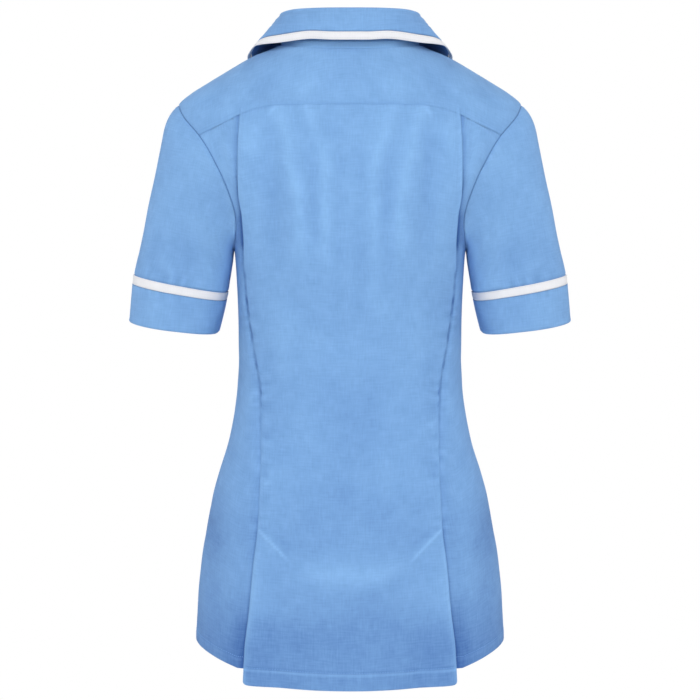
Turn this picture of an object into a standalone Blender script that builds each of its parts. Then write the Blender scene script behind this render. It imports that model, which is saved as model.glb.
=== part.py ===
"""A short-sleeved medical tunic for women, filled out as if it were worn, with nobody in it.

Metres, +Z up. The wearer faces -Y, and the wearer's left side is at +X. The origin is between the
two points where the shoulder meets the neck, on the level of those points.

The cut: a centre back between two action pleats that turn into seams and end in side vents, two
side backs, a shoulder yoke, two fronts that lap at the centre, set-in sleeves with a turned-up
cuff, a stand-and-fall collar, and a white band on the cuffs and on the collar's edge.

Every body panel is a patch of one form. A place on the form is an angle round it, 0 at the
wearer's left side and 90 degrees at the centre back, and a height.
"""

import math

import bpy
import numpy as np

# ---------------------------------------------------------------- driving dimensions
CLOTH = 0.0010  # wall of one layer of the body cloth
COLLAR_CLOTH = 0.0013  # the collar and the cuffs are interlined, so a little thicker
BAND_CLOTH = 0.0014  # the white bands are folded double
SEAM_GAP = 0.0003  # daylight between two pieces at a seam

SHOULDER_TIP_Z = -0.069  # where the sleeve meets the shoulder line
UNDERARM_Z = -0.233
ARMHOLE_BACK = 0.066  # reach of the armhole behind the side seam
ARMHOLE_FRONT = 0.072  # and in front of it
ARMHOLE_EGG = 0.18  # how much fuller the armhole is below its middle

NECK_HALF_WIDTH = 0.077
NECK_BACK = 0.069  # from the shoulder line to the back of the neck
V_DEPTH = 0.112  # from the shoulder line to the foot of the front neckline
V_CURVE = 1.1  # 1 is a straight neckline, more is hollower
FRONT_OVERLAP = 0.015  # each front runs this far past the centre
FRONT_YOKE_SEAM_Y = -0.018  # the yoke reaches this far over the shoulder
FRONT_LIFT_ENDS = 0.055  # the front that laps over comes down onto the form this far out
FRONT_LIFT_FADES = 0.038  # over this width
YOKE_CORNER_TRIM = 0.014  # turn of the armhole left free between the side back and the yoke
LAP_STRIP_DROP = 0.012  # the strip beside the lap reaches this far down the shoulder
ARMHOLE_EASE = 1.5 * SEAM_GAP  # the body panels and the yoke stop this far outside the armhole
FRONT_SEAM_EASE = 2.5 * SEAM_GAP  # the fronts stop this far before the yoke
BACK_SEAM_EASE = 2 * SEAM_GAP  # the centre back stops this far below the yoke
SIDE_SEAM_EASE = 3 * SEAM_GAP  # and the side backs this far

HEM_BACK_CENTRE = -0.7160
HEM_BACK_CORNER = -0.7105
HEM_VENT = -0.6950  # the side back is a little shorter at the vent
HEM_SIDE = -0.6735
HEM_FRONT = -0.7000
HEM_CURVE = 1.5  # 1 is a straight hem from the side seam to the vent, more is flatter at the side

# The form that fills the body, one row for each level, from the neck down.
# Half the width, the depth behind and before the side seam, and how square the back and
# front of the level are: 2 is an ellipse, more is squarer.
FORM_COLUMNS = ("height", "half_width", "back", "front", "back_square", "front_square")
FORM = (
    (0.0100, 0.0500, 0.048, 0.036, 2.0, 2.0),
    (0.0000, 0.0770, 0.060, 0.046, 2.0, 2.0),
    (-0.0146, 0.1110, 0.070, 0.056, 2.0, 2.0),
    (-0.0280, 0.1350, 0.077, 0.064, 2.0, 2.0),
    (-0.0400, 0.1550, 0.082, 0.071, 2.0, 2.0),
    (-0.0560, 0.1800, 0.087, 0.080, 2.0, 2.0),
    (-0.0690, 0.1950, 0.090, 0.087, 2.0, 2.0),
    (-0.0840, 0.1985, 0.093, 0.095, 2.1, 2.1),
    (-0.1080, 0.1910, 0.097, 0.107, 2.2, 2.2),
    (-0.1440, 0.1770, 0.103, 0.123, 2.3, 2.3),
    (-0.1740, 0.1610, 0.106, 0.138, 2.3, 2.4),
    (-0.2050, 0.1420, 0.106, 0.150, 2.3, 2.5),
    (-0.2360, 0.1310, 0.104, 0.158, 2.3, 2.5),
    (-0.2620, 0.1290, 0.100, 0.160, 2.3, 2.5),
    (-0.3000, 0.1270, 0.092, 0.150, 2.2, 2.4),
    (-0.3500, 0.1263, 0.084, 0.127, 2.2, 2.3),
    (-0.3900, 0.1280, 0.083, 0.115, 2.2, 2.2),
    (-0.4200, 0.1318, 0.086, 0.112, 2.2, 2.2),
    (-0.4500, 0.1380, 0.092, 0.112, 2.2, 2.2),
    (-0.4850, 0.1485, 0.101, 0.115, 2.2, 2.2),
    (-0.5180, 0.1572, 0.110, 0.118, 2.2, 2.2),
    (-0.5520, 0.1635, 0.118, 0.121, 2.2, 2.2),
    (-0.5900, 0.1690, 0.125, 0.124, 2.2, 2.2),
    (-0.6300, 0.1727, 0.127, 0.126, 2.2, 2.2),
    (-0.6700, 0.1743, 0.126, 0.127, 2.2, 2.2),
    (-0.7200, 0.1748, 0.123, 0.127, 2.2, 2.2),
)

# The side edge of the centre back, from the yoke seam to the hem: pleat, then seam, then vent.
# How far out it is, how far its folded edge stands off the form, how much of it is turned
# under, and how far the side back runs under it.
EDGE_COLUMNS = ("height", "out", "proud", "turned", "lap")
EDGE = (
    (-0.0772, 0.1220, 0.0010, 0.012, 0.016),
    (-0.0900, 0.1218, 0.0024, 0.012, 0.016),
    (-0.1061, 0.1213, 0.0046, 0.012, 0.016),
    (-0.1652, 0.1213, 0.0058, 0.012, 0.016),
    (-0.1947, 0.1187, 0.0058, 0.012, 0.016),
    (-0.2241, 0.1165, 0.0052, 0.012, 0.016),
    (-0.2474, 0.1169, 0.0036, 0.010, 0.014),
    (-0.2707, 0.1170, 0.0012, 0.007, 0.010),
    (-0.3024, 0.1135, 0.0010, 0.006, 0.008),
    (-0.3631, 0.1043, 0.0010, 0.006, 0.008),
    (-0.3887, 0.0999, 0.0010, 0.006, 0.008),
    (-0.4770, 0.0985, 0.0010, 0.006, 0.008),
    (-0.5141, 0.0998, 0.0010, 0.006, 0.008),
    (-0.5464, 0.1010, 0.0012, 0.008, 0.012),
    (-0.5810, 0.1039, 0.0036, 0.014, 0.020),
    (-0.6383, 0.1075, 0.0070, 0.014, 0.022),
    (-0.6753, 0.1106, 0.0095, 0.014, 0.022),
    (-0.7160, 0.1119, 0.0110, 0.014, 0.022),
)
SIDE_BACK_TOP = -0.0885  # where the side back's edge beside the pleat meets the yoke seam
TURN_RADIUS = CLOTH + SEAM_GAP  # outside radius of the folded edge
PROUD_REACH = 0.040  # the edge lifts over this width of the centre back
DIP_REACH = 0.012  # the side back dips under the edge over this width
DIP_SHARE = 0.4  # or over this share of the panel's width there, if that is less
DIP_SPARED = 0.75  # the edge's lift saves this share of itself from the dip

# The yoke seam across the back: its height at each distance from the centre.
YOKE_SEAM_COLUMNS = ("out", "height")
YOKE_SEAM = (
    (0.000, -0.0772),
    (0.076, -0.0772),
    (0.100, -0.0800),
    (0.122, -0.0872),
    (0.140, -0.0955),
    (0.169, -0.1075),
    (0.190, -0.1160),
)

# The largest soft folds: ridges and, with a height below nought, troughs. The distance from the
# centre and the height of each end, half the fold's width and how high it stands. Each lies on
# both sides of the centre.
FOLD_COLUMNS = ("top_out", "top_z", "foot_out", "foot_z", "half_width", "height")
BACK_FOLDS = (
    (0.000, -0.085, 0.000, -0.400, 0.034, -0.0026),
    (0.066, -0.080, 0.052, -0.290, 0.026, 0.0030),
    (0.000, -0.520, 0.000, -0.660, 0.090, 0.0030),
)
FRONT_FOLDS = (
    (0.075, -0.230, 0.066, -0.400, 0.030, 0.0030),
    (0.000, -0.280, 0.000, -0.440, 0.040, -0.0020),
    (0.085, -0.480, 0.090, -0.690, 0.034, 0.0030),
)

# The collar's left half. along is 0 at the centre back, 1 where the neckline passes the yoke's
# front seam and 2 at the collar's end. The top of the fold, and the edge of the leaf.
COLLAR_COLUMNS = ("along", "fold_x", "fold_y", "fold_z", "edge_x", "edge_y", "edge_z")
COLLAR = (
    (0.00, 0.0000, 0.0700, 0.0318, 0.0000, 0.0880, -0.0066),
    (0.35, 0.0400, 0.0620, 0.0326, 0.0470, 0.0790, -0.0062),
    (0.65, 0.0660, 0.0430, 0.0335, 0.0840, 0.0580, -0.0040),
    (0.85, 0.0765, 0.0190, 0.0335, 0.1080, 0.0270, -0.0010),
    (1.00, 0.0770, -0.0130, 0.0280, 0.1190, -0.0120, -0.0080),
    (1.30, 0.0660, -0.0470, 0.0040, 0.1195, -0.0530, -0.0390),
    (1.65, 0.0420, -0.0800, -0.0390, 0.0980, -0.0930, -0.0860),
    (2.00, 0.0060, -0.1070, -0.0830, 0.0640, -0.1190, -0.1280),
)
COLLAR_END_X = 0.005
FOLD_RADIUS = 0.0032
FOLD_BESIDE = 0.7  # beside its top the fold has a point this share of the radius away
FOLD_DOWN = 0.3  # and this share down
STAND_BELOW = 0.0030  # the stand's foot reaches this far through the neck hole
LEAF_BULGE = 0.0035  # the leaf is this hollow between the fold and its edge
BAND_WIDTH = 0.0095

# Rings of the left sleeve's lower end: centre, half the width and depth, and how far the ring
# leans out and forward, in degrees. The first is the band's upper edge, the second the cuff's
# lower edge.
RING_COLUMNS = ("down", "x", "y", "z", "half_width", "half_depth", "lean_out", "lean_forward")
RINGS = (
    (0.000, 0.1932, -0.0120, -0.2701, 0.0537, 0.0490, 10.3, 6.0),
    (0.050, 0.2015, -0.0175, -0.3195, 0.0505, 0.0480, 6.7, 8.0),
)
UNDERARM_OFF = 0.0008  # at the underarm the sleeve starts this far off the body
SLEEVE_INSIDE_CUFF = 0.013
CUFF_TURNED_IN = 0.022
CUFF_OFF = 0.0017  # the cuff's outer face stands this far off the sleeve
ARM_LEAN_OUT, ARM_LEAN_FORWARD = 12.0, 6.0  # how the sleeve hangs, in degrees
RING_DRIFT = 0.15  # beyond the rings, the sleeve's centre moves out this much for each unit down
CAP_DEPTH = 0.036  # down the arm, the cloth turns from the shoulder's slope to the arm's
CAP_CORNER = 0.85  # where in that depth the turn has its corner
CAP_SHARE = 0.8  # the most of a column's length that the turn takes
SLEEVE_FLARE = 0.7  # how straight the back and front of the sleeve run to the armhole

# Rows and columns of the faceted cloth.
BACK_ROWS, BACK_COLUMNS = 18, 16
SIDE_ROWS = 11  # below the underarm
FRONT_LAP_ROWS = 5  # on the front's edge, from the underarm's level to the foot of the V
ARMHOLE_PARTS = (8, 5, 11)  # round the armhole: on the side back, the yoke and the front
SIDE_BACK_COLUMNS, FRONT_COLUMNS = 3, 7  # beyond the strips along the overlaps
NECK_COLUMNS, SHOULDER_COLUMNS = 6, 5
CAP_ROWS, ARM_ROWS = 4, 3
COLLAR_FRONT_COLUMNS = 8

SKY_BLUE = (0.21, 0.42, 0.76, 1.0)
WHITE = (0.86, 0.86, 0.88, 1.0)


# ---------------------------------------------------------------- tables
def read(table, columns, name, at):
    """Column name of a table at the places at, along a smooth curve that never overshoots."""
    rows = np.array(sorted(table), float)
    keys, values = rows[:, 0], rows[:, columns.index(name)]
    steps = np.diff(keys)
    rise = np.diff(values) / steps
    both = rise[:-1] * rise[1:]
    total = np.where(rise[:-1] + rise[1:] == 0, 1, rise[:-1] + rise[1:])
    inner = np.where(both > 0, 2 * both / total, 0)
    slope = np.concatenate([rise[:1], inner, rise[-1:]])
    at = np.clip(np.asarray(at, float), keys[0], keys[-1])
    row = np.clip(np.searchsorted(keys, at) - 1, 0, len(keys) - 2)
    step = steps[row]
    t = (at - keys[row]) / step
    return (
        (1 + 2 * t) * (1 - t) ** 2 * values[row]
        + t * (1 - t) ** 2 * step * slope[row]
        + t**2 * (3 - 2 * t) * values[row + 1]
        + t**2 * (t - 1) * step * slope[row + 1]
    )


def form_at(name, z):
    return read(FORM, FORM_COLUMNS, name, z)


def edge_at(name, z):
    return read(EDGE, EDGE_COLUMNS, name, z)


def yoke_seam_z(x):
    return read(YOKE_SEAM, YOKE_SEAM_COLUMNS, "height", np.abs(x))


def ease(share):
    """0 to 1 with a soft start and end."""
    share = np.clip(share, 0, 1)
    return share * share * (3 - 2 * share)


def blend(a, b, share):
    return a + (b - a) * share


def unit(vectors):
    return vectors / np.linalg.norm(vectors, axis=-1, keepdims=True)


# ---------------------------------------------------------------- the form under the cloth
def depth_and_square(side, z):
    """Depth and squareness of a level on its back, side > 0, or its front."""
    depth = np.where(side > 0, form_at("back", z), form_at("front", z))
    square = np.where(side > 0, form_at("back_square", z), form_at("front_square", z))
    return depth, square


def form_point(angle, z):
    depth, square = depth_and_square(np.sin(angle), z)
    along, across = np.cos(angle), np.sin(angle)
    x = form_at("half_width", z) * np.sign(along) * np.abs(along) ** (2 / square)
    y = depth * np.sign(across) * np.abs(across) ** (2 / square)
    return np.stack(np.broadcast_arrays(x, y, z), axis=-1)


def fold_height(x, z, table):
    """How far the soft folds of a table stand off the form at x out and the height z."""
    height = np.zeros(np.broadcast(x, z).shape)
    for top_out, top_z, foot_out, foot_z, half_width, stands in table:
        down = (z - top_z) / (foot_z - top_z)
        taper = ease(down / 0.25) * ease((1 - down) / 0.35)
        across = ease(1 - np.abs(np.abs(x) - blend(top_out, foot_out, down)) / half_width)
        height = height + stands * taper * across
    return height


def cloth_point(angle, z, off=0.0):
    """A point off outside the form, along its normal, with the soft folds added."""
    turn, rise = 2e-3, 5e-4
    across = form_point(angle + turn, z) - form_point(angle - turn, z)
    up = form_point(angle, z + rise) - form_point(angle, z - rise)
    point = form_point(angle, z)
    back, front = (fold_height(point[..., 0], z, folds) for folds in (BACK_FOLDS, FRONT_FOLDS))
    off = np.asarray(off) + np.where(np.sin(angle) > 0, back, front)
    return point + unit(np.cross(across, up)) * off[..., None]


def angle_at_x(x, z, side):
    """The angle where the form is x out from the centre, on its back or front."""
    square = depth_and_square(side, z)[1]
    share = np.clip(np.abs(x) / form_at("half_width", z), 0, 1)
    angle = np.arccos(share ** (square / 2))
    return side * np.where(x < 0, math.pi - angle, angle)


def angle_at_y(y, z):
    """The angle, on the form's left half, where it is y behind the side seam."""
    depth, square = depth_and_square(y, z)
    return np.sign(y) * np.arcsin(np.clip(np.abs(y) / depth, 0, 1) ** (square / 2))


def patch(bottom, top, first, last, hold=1):
    """Places on the form inside four edges. bottom and top run from first to last, and first
    and last run upwards. Each row is straight between first and last, plus the curve of bottom
    and of top, which dies out the sooner the larger hold is."""
    up = np.linspace(0, 1, len(first))[:, None, None]
    across = np.linspace(0, 1, len(bottom))[None, :, None]
    rows = blend(first[:, None], last[:, None], across)
    bottom_curve = bottom[None] - blend(bottom[0], bottom[-1], across)
    top_curve = top[None] - blend(top[0], top[-1], across)
    return rows + bottom_curve * (1 - up) ** hold + top_curve * up**hold


def places(angle, z):
    return np.stack(np.broadcast_arrays(angle, z), axis=-1)


# ---------------------------------------------------------------- seam lines
def armhole(turn, ease_out=0.0):
    """Places on the armhole, an egg. turn is 0 at the underarm and goes up the back, over the
    shoulder tip at pi and down the front."""
    middle, half = (SHOULDER_TIP_Z + UNDERARM_Z) / 2, (SHOULDER_TIP_Z - UNDERARM_Z) / 2
    up = -np.cos(turn)
    z = middle + (half + ease_out) * up
    reach = np.where(np.sin(turn) > 0, ARMHOLE_BACK, ARMHOLE_FRONT) + ease_out
    y = reach * np.sin(turn) * (1 - ARMHOLE_EGG * up)
    return places(angle_at_y(y, z), z)


def nearest_turn(turns, wanted):
    """The turn whose point on the armhole comes nearest to making wanted(x, y, z) nought."""
    points = form_point(*np.moveaxis(armhole(turns), -1, 0))
    return turns[np.argmin(np.abs(wanted(*np.moveaxis(points, -1, 0))))]


def armhole_turns():
    """Stations round the armhole on the side back, the yoke and the front."""
    back_corner = nearest_turn(np.linspace(1.0, 3.0, 4000), lambda x, y, z: yoke_seam_z(x) - z)
    front_corner = nearest_turn(
        np.linspace(3.2, 4.5, 4000), lambda x, y, z: y - FRONT_YOKE_SEAM_Y
    )
    ends = ((0, back_corner), (back_corner, front_corner), (front_corner, 2 * math.pi))
    return [np.linspace(a, b, n + 1) for (a, b), n in zip(ends, ARMHOLE_PARTS)]


def neckline_x(z):
    """The left front's inner edge: past the centre below the V, and the neckline above it."""
    share = np.clip(-z / V_DEPTH, 0, 1)
    return (NECK_HALF_WIDTH + FRONT_OVERLAP) * (1 - share**V_CURVE) - FRONT_OVERLAP


def neck_corner_z():
    """Height where the neckline meets the yoke's front seam."""
    z = np.linspace(-0.030, -0.0001, 3000)
    y = form_point(angle_at_x(neckline_x(z), z, -1), z)[:, 1]
    return z[np.argmin(np.abs(y - FRONT_YOKE_SEAM_Y))]


def neck_back_z():
    """Height of the neck hole's edge at the centre back."""
    z = np.linspace(0.0, -0.060, 600)
    return np.interp(NECK_BACK, form_at("back", z), z)


def neck_places(count):
    """Places on the neck hole's edge from the centre back to the neck corner."""
    corner_z = neck_corner_z()
    corner_angle = angle_at_y(FRONT_YOKE_SEAM_Y, corner_z)
    angle = np.linspace(math.pi / 2, corner_angle, count + 1)
    height = blend(corner_z, neck_back_z(), np.sin(angle).clip(0) ** 2)
    return places(angle, height)


# ---------------------------------------------------------------- objects
def material(name, colour, roughness):
    made = bpy.data.materials.new(name)
    made.use_nodes = True
    shader = made.node_tree.nodes["Principled BSDF"]
    shader.inputs["Base Color"].default_value = colour
    shader.inputs["Roughness"].default_value = roughness
    shader.inputs["Metallic"].default_value = 0.0
    return made


def wall(name, grid, thickness, finish, closed=False):
    """A piece of cloth: a grid of outer points, rows upwards and columns anticlockwise from
    above, thickened inwards. closed joins the last column to the first."""
    rows, columns = grid.shape[:2]
    index = np.arange(rows * columns).reshape(rows, columns)
    if closed:
        index = np.concatenate([index, index[:, :1]], axis=1)
    corners = (index[:-1, :-1], index[:-1, 1:], index[1:, 1:], index[1:, :-1])
    faces = np.stack([c.ravel() for c in corners], axis=1)
    mesh = bpy.data.meshes.new(name)
    mesh.from_pydata(grid.reshape(-1, 3).tolist(), [], faces.tolist())
    mesh.update()
    mesh.shade_smooth()
    piece = bpy.data.objects.new(name, mesh)
    tunic.objects.link(piece)
    shell = piece.modifiers.new("wall", "SOLIDIFY")
    shell.thickness = thickness
    shell.offset = -1
    shell.use_even_offset = True
    shell.use_quality_normals = True
    mesh.materials.append(finish)
    return piece


def mirrored(grid):
    """The same grid for the wearer's right side."""
    return grid[:, ::-1] * np.array((-1, 1, 1))


def both_halves(left):
    """A grid that starts at the centre and runs out to the wearer's left, with its other half."""
    return np.concatenate([left[:, :0:-1], left * np.array((-1, 1, 1))], axis=1)


def pair(name, grid, thickness, finish, closed=False):
    wall(name + "_left", grid, thickness, finish, closed)
    wall(name + "_right", mirrored(grid), thickness, finish, closed)


# ---------------------------------------------------------------- centre back and side backs
def back_lift(x, z):
    """How far the centre back's outer face stands off the form: only near its two edges."""
    from_edge = edge_at("out", z) - np.abs(x)
    return edge_at("proud", z) * ease(1 - from_edge / PROUD_REACH)


def back_section(z):
    """Distances out and off the form across the centre back at the height z: from the turned
    edge on the wearer's left, round the fold, across to the other fold and round it."""
    fold_x = edge_at("out", z) - TURN_RADIUS
    under_x = np.linspace(fold_x + TURN_RADIUS - edge_at("turned", z), fold_x, 3)[:-1]
    under_off = back_lift(under_x, z) - 2 * TURN_RADIUS
    round_it = np.radians((180, 120, 60))
    turn_x = fold_x + TURN_RADIUS * np.sin(round_it)
    turn_off = back_lift(fold_x, z) + TURN_RADIUS * (np.cos(round_it) - 1)
    outer_x = fold_x * np.linspace(1, -1, BACK_COLUMNS + 1)
    x = np.concatenate([under_x, turn_x, outer_x, -turn_x[::-1], -under_x[::-1]])
    off = np.concatenate(
        [under_off, turn_off, back_lift(outer_x, z), turn_off[::-1], under_off[::-1]]
    )
    return x, off


def centre_back():
    rows = []
    top = yoke_seam_z(0.0)
    for level in np.linspace(HEM_BACK_CENTRE, top, BACK_ROWS + 1):
        x, off = back_section(level)
        height = (level - HEM_BACK_CENTRE) / (top - HEM_BACK_CENTRE)
        hem = blend(HEM_BACK_CENTRE, HEM_BACK_CORNER, (x / edge_at("out", level)) ** 2)
        z = blend(hem, yoke_seam_z(x) - BACK_SEAM_EASE, height)
        rows.append(cloth_point(angle_at_x(x, z, 1), z, off))
    wall("back_centre", np.array(rows), CLOTH, blue)


def side_edge(side, turns):
    """The side seam from the hem to the underarm, then the armhole, for a body panel."""
    z = np.linspace(HEM_SIDE, UNDERARM_Z - SEAM_GAP, SIDE_ROWS + 1)
    seam = places(angle_at_y(side * SEAM_GAP, z), z)
    return np.concatenate([seam, armhole(turns, ARMHOLE_EASE)[1:]])


def side_back():
    """From the side seam and the armhole to the centre back, which it runs under. Its last two
    columns of faces are the dip beside the centre back's edge and the part under it."""
    outer = side_edge(1, np.append(turns_back[:-1], turns_back[-1] - YOKE_CORNER_TRIM))
    armhole_z = outer[SIDE_ROWS:, 1]
    rise = (SIDE_BACK_TOP - armhole_z[-1]) * np.linspace(0, 1, len(armhole_z)) ** 3
    below = np.linspace(HEM_VENT, armhole_z[0], SIDE_ROWS + 1)
    edge_z = np.append(below, (armhole_z + rise)[1:])
    edge_x = edge_at("out", edge_z)
    room_beside = form_point(*np.moveaxis(outer, -1, 0))[:, 0] - edge_x
    past_edge = edge_x + np.minimum(DIP_REACH, DIP_SHARE * room_beside)
    inner = places(angle_at_x(past_edge, edge_z, 1), edge_z)
    seam_x = np.linspace(form_point(*outer[-1])[0], past_edge[-1], SIDE_BACK_COLUMNS + 1)
    seam_z = yoke_seam_z(seam_x) - SIDE_SEAM_EASE
    top = places(angle_at_x(seam_x, seam_z, 1), seam_z)
    top[0], inner[-1] = outer[-1], top[-1]
    bottom = blend(outer[0], inner[0], np.linspace(0, 1, len(top))[:, None])
    bottom[:, 1] = blend(HEM_SIDE, HEM_VENT, np.linspace(0, 1, len(top)) ** HEM_CURVE)
    main = patch(bottom, top, outer, inner, hold=6)
    strips = []
    for out in (edge_x + SEAM_GAP, edge_x - edge_at("lap", edge_z)):
        z = np.minimum(edge_z, yoke_seam_z(out) - SIDE_SEAM_EASE)
        strips.append(places(angle_at_x(out, z, 1), z))
    angle, z = np.moveaxis(np.concatenate([main, np.stack(strips, 1)], axis=1), -1, 0)
    # The dip lets the centre back's turned edge lie over this panel.
    room = (2 * TURN_RADIUS + 3 * SEAM_GAP - DIP_SPARED * edge_at("proud", z)).clip(0)
    under = np.arange(angle.shape[1]) >= len(bottom)
    pair("back_side", cloth_point(angle, z, -room * under), CLOTH, blue)


# ---------------------------------------------------------------- fronts
def front(name, over):
    """One front. over is how far the edge that laps the centre stands off the form. The first
    column of faces is as wide as the lap, so both fronts have the same facets there."""
    outer = side_edge(-1, turns_front[::-1])
    corner = neck_corner_z()
    seam_y = FRONT_YOKE_SEAM_Y - FRONT_SEAM_EASE
    below = np.linspace(HEM_FRONT, UNDERARM_Z, SIDE_ROWS + 1)
    lap = np.linspace(UNDERARM_Z, -V_DEPTH, FRONT_LAP_ROWS + 1)
    neckline = np.linspace(-V_DEPTH, corner - BACK_SEAM_EASE, len(outer) - len(below) - len(lap) + 2)
    edge_z = np.concatenate([below, lap[1:], neckline[1:]])
    edge = places(angle_at_x(neckline_x(edge_z), edge_z, -1), edge_z)
    edge[-1, 0] = angle_at_y(seam_y, edge_z[-1])
    drop = np.interp(edge_z, (-V_DEPTH, corner), (0, LAP_STRIP_DROP))
    inner_z = edge_z - drop
    inner = places(angle_at_x(neckline_x(edge_z) + 2 * FRONT_OVERLAP, inner_z, -1), inner_z)
    inner[-1, 0] = angle_at_y(seam_y, inner_z[-1])
    seam_z = blend(inner[-1, 1], outer[-1, 1], np.linspace(0, 1, FRONT_COLUMNS + 1))
    top = places(angle_at_y(seam_y, seam_z), seam_z)
    outer[-1] = top[-1]
    bottom = blend(inner[0], outer[0], np.linspace(0, 1, FRONT_COLUMNS + 1)[:, None])
    bottom[:, 1] = blend(HEM_FRONT, HEM_SIDE, ease(np.linspace(0, 1, FRONT_COLUMNS + 1)))
    main = patch(bottom, top, inner, outer, hold=3)
    angle, z = np.moveaxis(np.concatenate([edge[:, None], main], axis=1), -1, 0)
    lift = over * ease((FRONT_LIFT_ENDS - form_point(angle, z)[..., 0]) / FRONT_LIFT_FADES)
    grid = cloth_point(angle, z, lift)
    wall(name, grid if name.endswith("left") else mirrored(grid), CLOTH, blue)


# ---------------------------------------------------------------- yoke
def yoke():
    """From the yoke seam over both shoulders to its front seams, round the neck hole."""
    side = armhole(turns_yoke, ARMHOLE_EASE)
    fold_x = edge_at("out", yoke_seam_z(0.0)) - TURN_RADIUS
    corner_x = form_point(*side[0])[0]
    shared = np.linspace(0, fold_x, BACK_COLUMNS // 2 + 1)
    beyond = np.linspace(fold_x, corner_x, NECK_COLUMNS + SHOULDER_COLUMNS - len(shared) + 2)[1:]
    seam_x = np.concatenate([shared, beyond])
    seam_z = yoke_seam_z(seam_x)
    bottom = places(angle_at_x(seam_x, seam_z, 1), seam_z)
    bottom[-1] = side[0]
    neck = neck_places(NECK_COLUMNS)
    seam_z = np.linspace(neck[-1, 1], side[-1, 1], SHOULDER_COLUMNS + 1)
    seam = places(angle_at_y(FRONT_YOKE_SEAM_Y, seam_z), seam_z)
    top = np.concatenate([neck, seam[1:]])
    top[-1] = side[-1]
    middle = blend(bottom[0], top[0], np.linspace(0, 1, len(side))[:, None])
    angle, z = np.moveaxis(patch(bottom, top, middle, side), -1, 0)
    wall("yoke", both_halves(form_point(angle, z)), CLOTH, blue)


# ---------------------------------------------------------------- sleeves, cuffs and bands
def ring(down, turn, off):
    """A point round the sleeve's lower end. down is the distance below the band's upper edge,
    turn 0 is at the body side and goes round by the back."""
    at = {name: read(RINGS, RING_COLUMNS, name, down) for name in RING_COLUMNS[1:]}
    beyond = down - np.clip(down, RINGS[0][0], RINGS[-1][0])
    lean_out, lean_forward = np.radians(at["lean_out"]), np.radians(at["lean_forward"])
    across = -(at["half_width"] + off) * np.cos(turn)
    back = (at["half_depth"] + off) * np.sin(turn)
    x = at["x"] + across * np.cos(lean_out) + beyond * RING_DRIFT
    y = at["y"] + back * np.cos(lean_forward)
    z = at["z"] + across * np.sin(lean_out) - back * np.sin(lean_forward) - beyond
    return np.stack(np.broadcast_arrays(x, y, z), axis=-1)


def sleeve():
    """From the armhole to just inside the cuff. Each column leaves the armhole, turns a corner
    and runs down the arm."""
    turn = np.concatenate([turns_back, turns_yoke[1:], turns_front[1:-1]])
    angle, z = np.moveaxis(armhole(turn), -1, 0)
    start = cloth_point(angle, z, UNDERARM_OFF * (0.5 + 0.5 * np.cos(turn)) ** 2)
    end = ring(0.0, turn, 0.0)
    lean_out, lean_forward = math.radians(ARM_LEAN_OUT), math.radians(ARM_LEAN_FORWARD)
    arm = unit(np.array((math.tan(lean_out), -math.tan(lean_forward), -1.0)))
    straight = unit(end - start)
    down_arm = unit(blend(arm, straight, SLEEVE_FLARE * np.sin(turn)[:, None] ** 2))
    length = np.sum((end - start) * down_arm, axis=-1, keepdims=True)
    cap = np.minimum(CAP_DEPTH, CAP_SHARE * length)
    foot = end - down_arm * (length - cap)
    corner = foot - down_arm * cap * CAP_CORNER
    t = np.linspace(0, 1, CAP_ROWS + 1)[:, None, None]
    head = (1 - t) ** 2 * start + 2 * t * (1 - t) * corner + t**2 * foot
    t = np.linspace(0, 1, ARM_ROWS + 1)[1:, None, None]
    body = blend(foot, end, t)
    tail = ring(SLEEVE_INSIDE_CUFF, turn, 0.0)[None]
    # The armhole is walked up the back: from above, that is anticlockwise on the left sleeve
    # when the rows run down the arm, so the rows are turned over.
    grid = np.concatenate([head, body, tail])[::-1, ::-1]
    pair("sleeve", grid, CLOTH, blue, closed=True)
    return turn


def cuff(turn):
    """A doubled cuff: its outer layer, the fold at its lower edge and the part turned in."""
    radius = COLLAR_CLOTH + 2 * SEAM_GAP
    bottom = RINGS[-1][0] - radius
    round_it = np.radians((0, 60, 120, 180))
    fold_down = bottom + radius * np.sin(round_it)
    fold_off = CUFF_OFF - radius * (1 - np.cos(round_it))
    down = [BAND_WIDTH + SEAM_GAP, *fold_down, bottom - CUFF_TURNED_IN]
    off = [CUFF_OFF, *fold_off, fold_off[-1]]
    grid = np.array([ring(d, turn, o) for d, o in zip(down, off)])[::-1, ::-1]
    pair("cuff", grid, COLLAR_CLOTH, blue, closed=True)
    band = np.array([ring(d, turn, CUFF_OFF) for d in (0.0, BAND_WIDTH)])[::-1, ::-1]
    pair("cuff_band", band, BAND_CLOTH, white, closed=True)


# ---------------------------------------------------------------- collar
def collar_at(name, along):
    """Three columns of the collar's table, as points."""
    return np.stack([read(COLLAR, COLLAR_COLUMNS, f"{name}_{axis}", along) for axis in "xyz"], -1)


def neck_seam(along):
    """The neck hole's edge, from the centre back, 0, by the neck corner, 1, to the collar's
    end, 2, and the direction in the cloth across it into the hole."""
    on_yoke = neck_places(NECK_COLUMNS)
    z = np.linspace(neck_corner_z(), -V_DEPTH, 400)
    z = z[neckline_x(z) >= COLLAR_END_X]
    on_front = places(angle_at_x(neckline_x(z), z, -1), z)
    line = np.concatenate([on_yoke[:-1], on_front])
    key = np.concatenate([np.linspace(0, 1, len(on_yoke))[:-1], np.linspace(1, 2, len(on_front))])

    def at(place):
        return np.stack([np.interp(place, key, line[:, i]) for i in (0, 1)], -1)

    angle, z = np.moveaxis(at(along), -1, 0)
    point = form_point(angle, z)
    normal = unit(cloth_point(angle, z, 1.0) - point)
    ahead = form_point(*np.moveaxis(at(np.minimum(along + 0.03, 2)), -1, 0))
    behind = form_point(*np.moveaxis(at(np.maximum(along - 0.03, 0)), -1, 0))
    way = ahead - behind
    way[along == 0] *= np.array((1, 0, 0))
    return point, unit(np.cross(way, normal)), normal


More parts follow.
